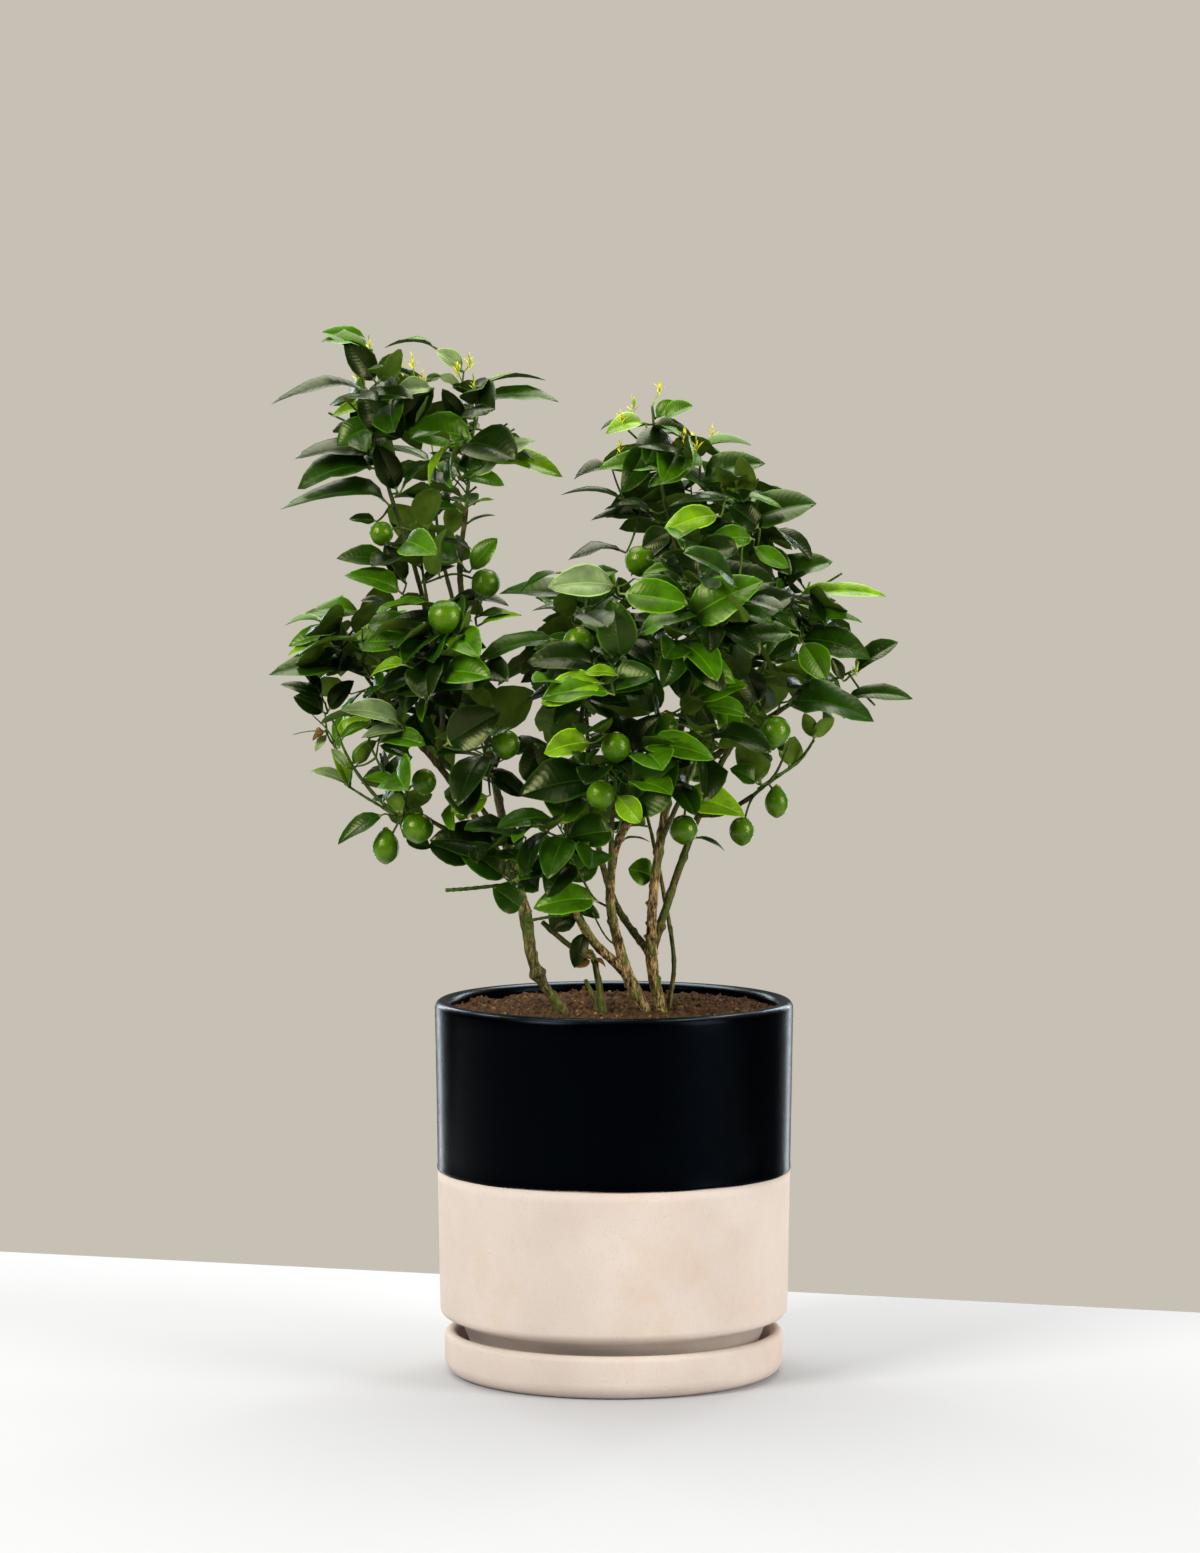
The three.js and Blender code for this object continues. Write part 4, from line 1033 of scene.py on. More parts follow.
# Finer twigs stand off the shoots: each leaves its parent sideways, bends upwards and ends in the mass's space
twigPlan = {
    "every": 26, "first": 0.45, "footGap": 5, "length": (20, 24), "radius": 0.75, "taper": 0.8, "ringEvery": 8,
    "ahead": 0.5, "outward": 0.55, "rise": 0.4, "tries": 5, "tryTurn": 1.3, "tryShorter": 0.1, "ownWood": 8,
    "seed": 900, "sides": 8, "bareRings": 24,
}


# The twigs of a mass, a few tries for each
def growTwigs(own, shoots, stream):
    plan, twigs = twigPlan, []
    for number, shoot in enumerate(shoots):
        length = shootLength(shoot)
        distances = np.arange(plan["first"] * plan["every"], length - plan["footGap"], plan["every"])
        for k, distance in enumerate(distances):
            spot, heading = placeOnShoot(shoot, distance)
            outward = (spot - spaceMiddles[own]) / spaceRadii[own]
            reach = plan["length"][0] + plan["length"][1] * next(stream)
            turn = goldenAngle * (k + 2 * number) + next(stream)
            far = np.linalg.norm(limbSamples["at"] - spot, axis=1) > plan["ownWood"]
            samples = {"at": limbSamples["at"][far], "radius": limbSamples["radius"][far]}
            for attempt in range(plan["tries"]):
                side = sideways(heading, turn + plan["tryTurn"] * attempt)
                aim = unit(plan["ahead"] * heading + side + plan["outward"] * outward + plan["rise"] * upward)
                end = spot + reach * (1 - plan["tryShorter"] * attempt) * aim
                bend = spot + 0.5 * reach * unit(heading + side)
                radii = plan["radius"], plan["taper"] * plan["radius"]
                twig = shootAlong(spot, bend, end, radii, plan["ringEvery"])
                if shootClear(twig, own, samples):
                    twigs.append(twig)
                    break
    return twigs


# Leaves that stand out in the photograph: root x and z, tip x and z, depth y, bow, lean towards the front in
# radians, width as a share of the usual one, and shade; shade 0, the darkest green, paints shade and shade 6,
# the palest, paints sheen
standingOut = [
    (-201, 854, -243, 861, 5, 0.24, 0.5, 1.2, 2), (-203, 854, -243, 869, 14, 0.2, 0.9, 1.1, 2),
    (-197, 826, -223, 862, 0, 0.1, 1.2, 1, 0), (-196, 826, -177, 852, 0, 0.1, 1.2, 1.1, 1),
    (-147, 855, -191, 856, 15, 0.45, 0.15, 1, 2), (-125, 836, -148, 854, 10, 0.1, 0.8, 1.1, 6),
    (-116, 821, -57, 829, 6, 0.28, 0.15, 1, 6), (-114, 809, -46, 811, -6, 0.32, 0.45, 1, 1),
    (-204, 819, -284, 809, 0, 0.5, 0.4, 0.66, 0), (-189, 784, -209, 819, -12, 0.1, 1.2, 1.3, 0),
    (-187, 784, -149, 822, -14, 0.1, 1.2, 1, 0), (-149, 822, -181, 819, -24, 0.2, 0.9, 1.2, 6),
    (-166, 831, -188, 837, 5, 0.2, 0.6, 1.1, 1), (-199, 803, -234, 799, -5, 0.4, 0.5, 1, 3),
    (-205, 783, -219, 806, 6, 0.1, 1, 1, 0), (-114, 778, -173, 785, -20, 0.4, 0.9, 1.3, 2),
    (-195, 764, -265, 764, 8, 0.32, 0.4, 1, 0), (-197, 792, -229, 775, -14, 0.2, 1, 1.4, 1),
    (-196, 755, -263, 739, 4, 0.4, 0.45, 1.3, 1), (-186, 725, -277, 722, -4, 0.9, 0.38, 1.1, 1),
    (-197, 712, -220, 714, 0, 0.2, 0.9, 1.1, 1), (-119, 748, -65, 779, -40, 0.24, 0.7, 1.1, 6),
    (-108, 759, -43, 749, 8, 0.4, 0.5, 1, 3), (-129, 749, -91, 742, -14, 0.24, 0.7, 1, 2),
    (-119, 749, -153, 769, -8, 0.24, 0.5, 1, 1), (-123, 730, -169, 738, 2, 0.4, -0.4, 1, 0),
    (-180, 736, -197, 776, 2, 0.2, 1.1, 1.1, 0), (-178, 735, -138, 765, -6, 0.32, 0.2, 0.9, 1),
    (-126, 677, -169, 689, -18, 0.48, 0.6, 1.3, 1), (-120, 670, -97, 698, 0, 0, 0.9, 1, 2),
    (-183, 676, -229, 682, -30, 0.36, 0.8, 1, 1), (-175, 653, -222, 668, -36, 0.45, 0.8, 1.1, 2),
    (-172, 661, -190, 693, -20, 0.1, 1.1, 1, 0), (-165, 711, -145, 736, 6, 0.1, -0.8, 1, 3),
    (-126, 719, -158, 724, -4, 0.32, 0.3, 1, 1), (-121, 725, -100, 730, 0, 0.1, 0.1, 0.8, 3),
    (-123, 710, -99, 717, 6, 0.1, 0.1, 0.9, 2), (-130, 696, -160, 705, 4, 0.24, -0.6, 1, 2),
    (-242, 629, -273, 626, -10, 0.32, 0.3, 1, 2), (-209, 636, -248, 639, -20, 0.24, 0.7, 1.1, 2),
    (-188, 641, -211, 646, 0, 0.4, 0.3, 1.1, 0), (-207, 625, -143, 618, -60, 0.64, 0.7, 1, 1),
    (-223, 615, -270, 609, -15, 0.4, 0.5, 1, 2), (-227, 608, -270, 602, -22, 0.24, 0.4, 0.8, 3),
    (-199, 582, -285, 586, -30, 0.48, 0.45, 1, 1), (-222, 615, -173, 615, -50, -0.3, 0.9, 1, 2),
    (-93, 587, -178, 574, -95, 0.48, 0.7, 1.15, 0), (-240, 561, -277, 577, -10, 0.24, 0.5, 0.9, 0),
    (-240, 553, -266, 567, -14, 0.2, 1, 1.2, 0), (-238, 554, -216, 580, -8, 0.1, 0.8, 1, 0),
    (-243, 566, -261, 589, -4, 0.24, 0.3, 0.8, 0), (-174, 546, -224, 559, -70, 0.4, 0.7, 1, 6),
    (-199, 552, -242, 547, -60, 0.32, -0.3, 1, 2), (-172, 542, -207, 536, -72, 0.24, 0.6, 0.9, 6),
    (-198, 547, -226, 534, -64, 0.2, 0.6, 1, 2), (-166, 519, -193, 529, -60, 0.24, 0.5, 1, 1),
    (-212, 512, -197, 533, -60, 0, -0.9, 1, 2), (-219, 511, -232, 527, -66, 0.1, 0.9, 0.8, 6),
    (-219, 496, -249, 508, -56, 0.24, 0.5, 0.9, 6), (-175, 495, -206, 502, -58, 0.4, 0.5, 1, 2),
    (-174, 472, -189, 491, -56, 0.1, -1, 1.3, 2), (-188, 473, -227, 448, -62, 0.2, 0.7, 0.75, 1),
    (-173, 453, -152, 444, -50, 0.2, 1, 1.4, 0), (-139, 531, -93, 559, -100, 0.1, 1.2, 1.1, 0),
    (-108, 541, -66, 574, -70, 0.1, -1.1, 1.2, 2), (-98, 561, -121, 577, -74, 0.1, -1, 1.2, 2),
    (-118, 488, -127, 468, -70, 0.1, 0.8, 1.4, 3), (-94, 442, -151, 453, -80, 0.32, 0.8, 1.1, 0),
    (-87, 420, -128, 448, -86, 0.1, 0.9, 1.1, 1), (-13, 404, -66, 399, -100, 0.4, 0.85, 1.15, 2),
    (5, 600, -2, 652, -120, 0.1, 1.3, 1.1, 1), (3, 661, -54, 661, -118, 0.28, 1, 1.15, 6),
    (16, 668, 61, 645, -118, 0.24, 0.9, 0.95, 1), (4, 656, 59, 648, -132, 0.05, 1.15, 1.15, 2),
    (55, 631, 120, 666, -110, 0.2, 1.1, 1.1, 2), (17, 620, 67, 638, -120, 0.24, 0.5, 1, 2),
    (-44, 672, -77, 655, -90, 0.32, 0.3, 0.9, 1), (-12, 640, -94, 654, -70, 0.24, 0.35, 0.8, 1),
    (-20, 634, -67, 640, -60, 0.2, 0.3, 0.9, 2), (-43, 617, -111, 600, -100, 0.2, 0.5, 0.65, 1),
    (-12, 595, -71, 601, -120, 0.48, 0.7, 1.1, 0), (-8, 584, -59, 568, -140, 0.4, 0.8, 1.2, 3),
    (0, 575, -59, 572, -146, 0.24, 0.5, 0.9, 2), (3, 590, -25, 592, -142, 0.4, 0.6, 1, 3),
    (-18, 534, -57, 526, -110, 0.32, 0.9, 1.3, 3), (-44, 494, -69, 533, -80, 0.1, 1.2, 1.2, 0),
    (-12, 503, -77, 491, -100, 0.2, 0.9, 1.2, 0), (21, 530, 81, 522, -120, 0.48, 0.7, 1, 2),
    (6, 476, 52, 519, -110, 0.1, 1.2, 1.4, 1), (1, 493, 21, 471, -128, 0.1, 1.2, 1.3, 3),
    (2, 460, -39, 455, -90, 0.2, 1, 1.4, 1), (51, 486, 107, 472, -70, 0.4, 0.8, 1.1, 3),
    (137, 563, 214, 548, -40, 0.3, 0.6, 1.1, 1), (189, 563, 248, 565, -10, 0.3, 0.5, 0.7, 1),
    (150, 614, 212, 599, -30, 0.36, 0.7, 1.1, 1), (154, 615, 174, 583, -48, 0.1, 1.2, 1.25, 2),
    (198, 584, 236, 612, -5, 0.1, 0.5, 0.9, 1), (191, 579, 181, 599, -2, 0.1, 1, 0.9, 0),
    (150, 620, 92, 614, -84, 0.3, 0.7, 0.9, 1), (40, 603, 99, 582, -80, 0.48, 0.7, 1, 2),
    (121, 560, 106, 594, -20, 0.1, 1.2, 1.1, 0), (111, 552, 73, 562, -64, 0.25, 0.6, 1.1, 2),
    (166, 532, 158, 553, -15, 0.1, -1.1, 1.1, 2), (166, 532, 183, 549, -15, 0.1, -1.1, 1.1, 2),
    (122, 495, 112, 536, -30, 0.1, -1.2, 1.1, 4), (121, 495, 102, 527, -26, 0.1, -1.2, 1, 3),
    (145, 508, 150, 534, -20, 0.1, -1.1, 1.6, 2), (119, 495, 96, 508, -25, 0.2, 0.8, 1.5, 1),
    (67, 449, 92, 438, -5, 0.24, 0.3, 0.8, 2), (34, 414, 12, 421, 20, 0.1, 1.2, 1.8, 2),
    (7, 446, 30, 444, 10, 0.32, 0.1, 0.8, 0), (26, 793, -7, 785, -8, 0.48, 0.55, 1.5, 3),
    (9, 794, -11, 788, 5, 0.4, 0.3, 1, 0), (40, 796, 65, 808, -4, 0.1, 0.6, 1.2, 2),
    (34, 797, 52, 811, 10, 0.1, 0.7, 1.3, 2), (28, 788, 64, 783, -16, 0.32, 0.6, 1.2, 0),
    (70, 771, 114, 775, 10, 0.3, 0.3, 1, 2), (46, 753, -13, 755, -14, 0.32, 0.6, 1, 2),
    (-2, 757, -33, 747, -2, 0.32, 0.5, 1.5, 0), (71, 745, 125, 760, -12, 0.4, 0.8, 1.15, 1),
    (10, 728, -44, 734, 4, 0.32, 0.15, 1, 1), (38, 711, -19, 713, 2, 0.24, 0.5, 1, 0),
    (34, 719, -8, 722, -8, 0.32, 0.4, 1, 0), (87, 717, 39, 704, -60, 0.48, 0.9, 1.1, 3),
    (115, 698, 75, 695, -58, 0.4, 0.9, 1.2, 2), (71, 761, 28, 741, -24, -0.1, 0.7, 1, 2),
    (91, 729, 139, 723, -40, 0.48, 0.3, 1, 2), (108, 711, 167, 727, -20, 0.24, 0.9, 1.2, 1),
    (132, 708, 164, 679, -10, 0.1, 0.3, 0.9, 0), (113, 693, 143, 675, -50, -0.3, 0.8, 1, 2),
    (134, 654, 181, 679, -10, 0.32, 0.5, 1.3, 1), (146, 646, 226, 650, -4, 0.25, 0.7, 0.55, 3),
    (114, 633, 178, 639, -22, 0.64, 0.2, 0.9, 1), (154, 629, 205, 629, -30, 0.24, 0.5, 0.9, 2),
    (10, 686, -38, 680, 2, 0.4, 0.2, 1, 0), (23, 668, 50, 675, -70, 0.24, 0.6, 0.9, 2),
    (153, 622, 128, 638, -40, 0.2, 0.9, 1, 1), (120, 706, 94, 726, -36, 0.2, 1, 1.3, 0),
    (-113, 627, -76, 636, -60, 0.05, 0.4, 0.6, 3), (-138, 647, -87, 643, -30, 0.24, 0.4, 0.95, 0),
    (-114, 634, -81, 637, -55, 0.24, 0.6, 0.8, 1), (28, 552, 34, 586, -40, 0.1, 1.1, 1.1, 1),
    (-110, 439, -152, 448, -70, 0.1, 1.0, 1.5, 0), (-122, 505, -68, 489, -60, 0.24, 0.6, 0.8, 0),
    (-12, 437, -40, 420, -66, 0.1, 1.1, 1.5, 1), (-24, 371, -33, 340, -4, 0.2, 0.9, 0.9, 0),
    (-18, 347, -31, 353, -8, 0.4, 0.7, 1.2, 5), (-19, 346, -32, 341, -8, 0.24, 0.9, 1.2, 5),
    (-17, 347, -7, 340, 0, 0.4, 0.4, 1.2, 5), (-18, 349, -23, 355, -3, 0.24, 1.0, 1.6, 5),
    (50, 674, 23, 670, -78, 0.4, 0.6, 0.8, 2), (-233, 529, -200, 551, -30, 0.32, 0.5, 0.8, 3),
    (-217, 511, -196, 532, -40, 0.2, 0.7, 0.9, 2), (-167, 519, -192, 529, -60, 0.24, 0.7, 1.2, 1),
    (-178, 472, -181, 495, -55, 0.1, -1.0, 1.3, 2), (-175, 474, -150, 488, -50, 0.2, -0.9, 1.1, 2),
    (-218, 494, -233, 525, -50, 0.24, 0.6, 0.8, 3), (-101, 491, -133, 478, -100, -0.1, 1.0, 1.3, 3),
    (-33, 391, -52, 371, 0, 0.1, 1.1, 1.5, 0), (-33, 392, -12, 382, -8, 0.1, 0.9, 1.1, 0),
    (-127, 730, -137, 701, 8, 0.1, -0.9, 1.1, 2), (-163, 658, -132, 675, 8, 0.2, 0.5, 0.8, 0),
    (34, 793, 55, 782, -6, 0.32, 0.6, 1.3, 0), (28, 782, 55, 766, -10, 0.32, 0.5, 0.9, 1),
    (-21, 666, 3, 673, -90, 0.32, 0.6, 1.1, 1), (-7, 652, 0, 673, -112, 0.1, 1.1, 0.9, 2),
    (9, 650, 3, 669, -110, 0.1, 1, 1.2, 1), (-75, 393, -100, 412, -60, 0.1, 1, 1.6, 1),
    (-84, 420, -32, 433, -92, 0.28, 0.7, 0.8, 1), (-127, 823, -146, 833, 2, 0.1, 0.8, 1, 6),
    (-157, 828, -143, 832, -6, 0.1, 0.8, 1.3, 1), (-124, 786, -142, 822, -8, 0.15, 1, 0.8, 0),
    (-60, 494, -66, 534, -84, 0.1, 1.1, 1.4, 0), (-103, 508, -76, 489, -84, 0.2, 0.9, 0.9, 0),
    (-237, 537, -247, 523, -36, 0.2, 0.9, 0.9, 6), (-238, 540, -249, 532, -40, 0.5, 0.6, 1.1, 5),
    (-240, 540, -247, 538, -42, 0.2, 0.9, 2.2, 5), (-83, 422, -32, 434, -112, 0.25, 0.7, 0.9, 1),
    (104, 694, 63, 686, -100, 0.1, 1.1, 1.1, 0), (73, 669, 36, 685, -84, 0.1, 1.1, 1.2, 0),
    (47, 706, 23, 692, -76, 0.1, 1.1, 1.2, 0), (118, 691, 146, 669, -40, 0.2, 1.0, 0.9, 0),
]
# The leaves' outline seen from the front, and the gaps of sky inside it as x, z and radius
crownOutline = np.array([
    (-227, 858), (-178, 854), (-120, 844), (-70, 825), (-70, 813), (-99, 804), (-95, 788), (-62, 780), (-57, 759),
    (-99, 746), (-111, 730), (-120, 705), (-107, 680), (-95, 647), (-70, 655), (-45, 668), (-12, 678), (12, 690),
    (-12, 705), (-12, 722), (5, 734), (-20, 741), (-12, 756), (-3, 780), (5, 796), (30, 809), (55, 804), (71, 784),
    (113, 775), (125, 751), (159, 730), (146, 705), (165, 680), (155, 668), (213, 655), (196, 613), (211, 597),
    (203, 580), (238, 568), (209, 557), (197, 550), (167, 534), (147, 513), (122, 490), (109, 472), (72, 442),
    (63, 467), (45, 480), (22, 455), (7, 430), (-12, 394), (-45, 392), (-78, 386), (-103, 401), (-97, 410),
    (-120, 424), (-154, 438),
    (-195, 459), (-225, 445), (-224, 463), (-195, 480), (-237, 497), (-253, 526), (-262, 559), (-270, 572),
    (-274, 593), (-285, 590), (-270, 630), (-228, 647), (-191, 651), (-228, 668), (-224, 688), (-190, 680),
    (-201, 717), (-190, 730), (-269, 730), (-261, 763), (-228, 771), (-236, 804), (-276, 813), (-236, 829),
    (-202, 833),
])
skyGaps = np.array([
    (-255, 809, 13), (-77, 543, 10), (208, 642, 10), (-97, 796, 8), (-280, 604, 10), (-201, 515, 10),
    (-212, 573, 9), (-62, 780, 9), (-136, 663, 9), (-127, 418, 9), (-154, 845, 9), (-111, 841, 9), (-117, 700, 9),
    (-232, 791, 9), (-7, 702, 9), (-72, 642, 9), (200, 622, 8), (-13, 406, 8), (-148, 480, 8), (-237, 812, 8),
    (-99, 618, 8), (-3, 746, 8), (-258, 547, 8), (10, 440, 8), (-101, 751, 8), (-73, 625, 8), (87, 456, 8),
    (-89, 621, 8), (217, 560, 8), (195, 643, 8), (149, 551, 7), (-263, 757, 7), (-143, 490, 7), (-274, 619, 7),
    (-229, 730, 7), (148, 709, 7), (-85, 508, 7), (-243, 517, 7), (-202, 751, 6), (-91, 750, 6), (152, 539, 6),
    (-123, 523, 6), (93, 498, 6), (3, 699, 6), (-227, 673, 6), (-155, 658, 6), (106, 488, 6), (15, 784, 6),
    (193, 596, 8), (186, 583, 6),
])
viewPlan = {"from": (-11.7, -4200, 780), "pitch": 3.82, "lens": 117.0, "sensor": 36}
placedPlan = {"along": (0.25, 0.4, 0.55, 0.7, 0.85, 1), "ahead": 0.15, "rank": 9}
sprigPlan = {"sag": 0.2, "radii": (1.05, 0.7), "ringEvery": 7}  # of the stalk that each of these leaves hangs from


# A leaf from root to tip whose bow stands off the chord on the side of its upper face
def leafBetween(root, tip, bow, lean):
    chord = unit(tip - root)
    facing = np.array([0, -math.sin(lean), math.cos(lean)])
    facing = unit(facing - (facing @ chord) * chord)
    along, normal = unit(chord + bow * facing), unit(facing - bow * chord)
    return {
        "root": root, "along": along, "normal": normal, "across": np.cross(normal, along),
        "length": np.linalg.norm(tip - root) / math.sqrt(1 + bow**2), "droop": bow,
    }


# The leaves of the table above, each given to the mass whose space its middle lies in
def standOutLeaves():
    found = {name: [] for name in masses}
    for rootX, rootZ, tipX, tipZ, depth, bow, lean, width, shade in standingOut:
        root = np.array([rootX, depth, rootZ], float)
        tip = np.array([tipX, depth, tipZ], float)
        tip[1] -= placedPlan["ahead"] * lean * np.linalg.norm(tip - root)
        leaf = leafBetween(root, tip, bow, lean)
        powers = ((((root + tip) / 2 - spaceMiddles) ** 2).sum(axis=1)) - spaceRadii**2
        leaf["mass"] = list(masses)[np.argmin(powers)]
        leaf.update(width=width, shade=shade, rank=placedPlan["rank"], spots=bladePoints(leaf, bladeSpots))
        found[leaf["mass"]].append(leaf)
    return found


# Where points show from the camera, as x and z in the plane through the pot's axis
def seenPlaces(points):
    eye = np.array(viewPlan["from"], float)
    return eye[[0, 2]] + (points - eye)[:, [0, 2]] * (-eye[1] / (points[:, 1] - eye[1]))[:, None]


# A point lies in the outline if a level line from it to the right crosses the outline an odd number of times
def inOutline(places):
    a, b = crownOutline, np.roll(crownOutline, -1, axis=0)
    x, z = places[:, None, 0], places[:, None, 1]
    rise = np.where(b[:, 1] == a[:, 1], 1, b[:, 1] - a[:, 1])
    crossing = a[:, 0] + (z - a[:, 1]) / rise * (b[:, 0] - a[:, 0])
    return (((a[:, 1] > z) != (b[:, 1] > z)) & (x < crossing)).sum(axis=1) % 2 == 1


# Whether a leaf covers a gap of sky or reaches past the outline, by places on its midrib and both margins
def showsSky(leaf):
    spots = [(u, side * 0.5 * math.sin(math.pi * u)) for u in placedPlan["along"] for side in (-1, 0, 1)]
    places = seenPlaces(bladePoints(leaf, spots))
    apart = np.linalg.norm(places[:, None] - skyGaps[:, :2], axis=-1)
    return (apart < skyGaps[:, 2]).any() or not inOutline(places).all()


# A twig ends where its last leaf stands
def shortened(twig, distance):
    share = np.linspace(0, min(1, distance / shootLength(twig)), len(twig["centres"]))
    return dict(twig, centres=curveThrough(twig["centres"], share))


# Each leaf that stands out hangs from a sprig of its own, which starts at the nearest wood
def growSprigs(found, shoots, twigs):
    grown = [shoot["centres"] for name in masses for shoot in shoots[name] + twigs[name]]
    wood = np.vstack([limbSamples["at"], *grown])
    waiting = [leaf for name in masses for leaf in found[name]]
    while waiting:
        roots = np.array([leaf["root"] for leaf in waiting])
        apart = np.linalg.norm(roots[:, None] - wood, axis=-1)
        number, nearest = np.unravel_index(apart.argmin(), apart.shape)
        leaf = waiting.pop(number)
        start, reach = wood[nearest], apart[number, nearest]
        if reach > 1:
            bend = (start + leaf["root"]) / 2 - sprigPlan["sag"] * reach * upward
            sprig = shootAlong(start, bend, leaf["root"], sprigPlan["radii"], sprigPlan["ringEvery"])
            twigs[leaf["mass"]].append(sprig)
            wood = np.vstack([wood, sprig["centres"]])


# Each mass grows its shoots and their leaves, then finer twigs with smaller leaves; a twig without leaves goes
def growFoliage():
    shoots, twigs, leaves = {}, {}, standOutLeaves()
    for own, name in enumerate(masses):
        stream = numberStream(masses[name][4])
        shoots[name] = growShoots(name, own, stream)
        growLeaves(name, own, shoots[name], stream, leafPlan, leaves[name])
        stream = numberStream(twigPlan["seed"] + own)
        twigs[name] = growTwigs(own, shoots[name], stream)
        growLeaves(name, own, twigs[name] + shoots[name], stream, finerLeafPlan, leaves[name])
        leaves[name] = [leaf for leaf in leaves[name]
                        if "shade" in leaf or not (hidesFruit(leaf, name) or showsSky(leaf))]
        for leaf in leaves[name]:
            if "shoot" in leaf:
                leaf["shoot"]["borne"] = max(leaf["shoot"]["borne"], leaf["distance"])
        twigs[name] = [shortened(twig, twig["borne"]) for twig in twigs[name] if twig["borne"] > 0]
    growSprigs({name: [leaf for leaf in leaves[name] if "shade" in leaf] for name in masses}, shoots, twigs)
    return shoots, twigs, leaves


print("growing the foliage")
shoots, twigs, leaves = growFoliage()
for kind, found in (("shoots", shoots), ("twigs", twigs), ("leaves", leaves)):
    print(kind, sum(map(len, found.values())))

# Leaves

bladePlan = {
    "stations": [0, 0.085, 0.135, 0.2, 0.34, 0.5, 0.66, 0.81, 0.93, 1.0],
    "across": [1, 0.5, 0, -0.5, -1], "petiole": 0.85, "fold": 0.24, "bulge": 0.14, "wave": 0.17, "arch": 0.22,
    "width": 1.22, "stalkEnd": 0.1, "bellyAt": 0.9, "belly": 0.64, "stalkShare": 0.035, "waves": 1.7,
}
lobes = {
    "leaves_left": ["left_top", "left_top_inner", "left_waist", "left_arm", "left_front", "left_low"],
    "leaves_left_low": ["left_inner", "left_foot", "centre_low", "front_low", "centre_front"],
    "leaves_right": ["right_top", "right_upper", "right_arm", "right_tip", "right_front", "right_low",
                     "right_low_outer"],
    "leaves_back": ["left_upper_back", "left_lower_back", "right_upper_back", "right_middle_back",
                    "centre_back", "low_back"],
}


# Leaf: a flattened tube along a petiole and a bending blade. Half the width is 0.5 W sin(pi s^0.9)^0.64 for a
# share s of the blade; the halves fold up from the midrib and bulge, and the edge waves slowly
def leafSurfaces(found, variations):
    plan = bladePlan
    u = np.array(plan["stations"])[None, :, None]
    v = np.array([*plan["across"], 0])[None, None, :]
    under = np.zeros(v.shape, bool)
    under[..., -1] = True
    length = np.array([leaf["length"] for leaf in found])[:, None, None]
    droop = np.array([leaf["droop"] for leaf in found])[:, None, None]
    fold, wave, phase, twist, plump = (column[:, None, None] for column in variations.T)
    s = np.clip((u - plan["stalkEnd"]) / (1 - plan["stalkEnd"]), 0, 1)
    outline = np.sin(np.pi * s ** plan["bellyAt"]) ** plan["belly"]
    half = 0.5 * leafPlan["width"] * plan["width"] * plump * length * outline
    petiole = np.minimum(plan["petiole"], plan["stalkShare"] * length)
    half = np.maximum(half, np.where(u < plan["stalkEnd"], petiole, 0.4 * petiole))
    stalk = np.clip((0.2 - u) / 0.08, 0, 1)
    across = v * half
    rise = plan["fold"] * fold * np.abs(across) + plan["bulge"] * half * 4 * np.abs(v) * (1 - np.abs(v))
    swing = np.sin(2 * np.pi * plan["waves"] * u + phase + 1.2 * np.sign(v))
    rise = rise + plan["wave"] * wave * half * v**2 * swing
    rise = rise * (1 - stalk) + stalk * petiole * np.sqrt(1 - v**2)
    rise = np.where(under, -petiole * (0.3 + 0.6 * (1 - s)) - 0.4 * stalk * petiole, rise)
    rise = rise - droop * length * u**2 + plan["arch"] * length * u * (1 - u)
    angle = twist * u**2
    side, lift = across * np.cos(angle), across * np.sin(angle)
    base, along, acrossWay, normal = (np.array([leaf[key] for leaf in found])[:, None, None]
                                      for key in ("root", "along", "across", "normal"))
    points = (base + (u * length)[..., None] * along + side[..., None] * acrossWay
              + (rise + lift)[..., None] * normal)
    uv = np.stack(np.broadcast_arrays(u + 0 * v, 0.5 + 0.5 * v * np.ones_like(u)), -1)
    uv = np.broadcast_to(uv, (len(found), *uv.shape[1:]))
    return points, uv


# Quads round the tube from station to station, and one face at each end
def leafFaces():
    stations, sides = len(bladePlan["stations"]), len(bladePlan["across"]) + 1
    quads = ringFaces(stations, sides, poles=False)[0]
    ends = np.array([np.arange(sides)[::-1], (stations - 1) * sides + np.arange(sides)])
    return quads, ends


# The greens in the order of the shades that the table of leaves gives by number; the dark one paints shade
# and the pale one paints the sheen of the sky on leaves that face up
leafGreens = {
    # near black: a lime leaf's dark green with painted shade, for leaves deep in the crown and leaves in shade
    "dark leaf": (10, 28, 1), "deep leaf": (26, 55, 2), "green leaf": (54, 93, 3),
    "fresh leaf": (96, 132, 12), "young leaf": (146, 164, 18), "dry leaf": (84, 58, 26),
    # painted sheen: the paleness of reflected sky on leaves that face up
    "pale leaf with painted sheen": (104, 122, 76),
}
# Gains on a leaf's own colour for its blotches, midrib and margin, and what is added to the last two
leafTones = {"blotches": (0.84, 1.18), "rib": (1.3, (14, 20, 5)), "margin": (1.3, (24, 30, 8))}
undersideLook = {
    "roughness": 0.62, "specular": 0.08, "tint": (0.9, 1.0, 0.4, 1), "tones": ((66, 90, 22), (86, 110, 32)),
    "toneNoise": (12, 3, (0.35, 0.65)), "grit": (2.5, 0.3, 3),
}
stalkLook = {"colour": (104, 124, 46), "roughness": 0.5, "grit": (1.0, 0.2, 2)}
leafLook = {
    "roughness": 0.32, "specular": 0.32, "tint": (0.95, 1.0, 0.42, 1), "blotchGrain": 16,
    "rib": (0.008, 0.026), "margin": (0.44, 0.48),  # distances from the midrib, where the edge is 0.5
    "veins": 88.0, "veinSlant": 0.3, "veinRelief": 0.03, "blisters": (5.0, 0.2),
}


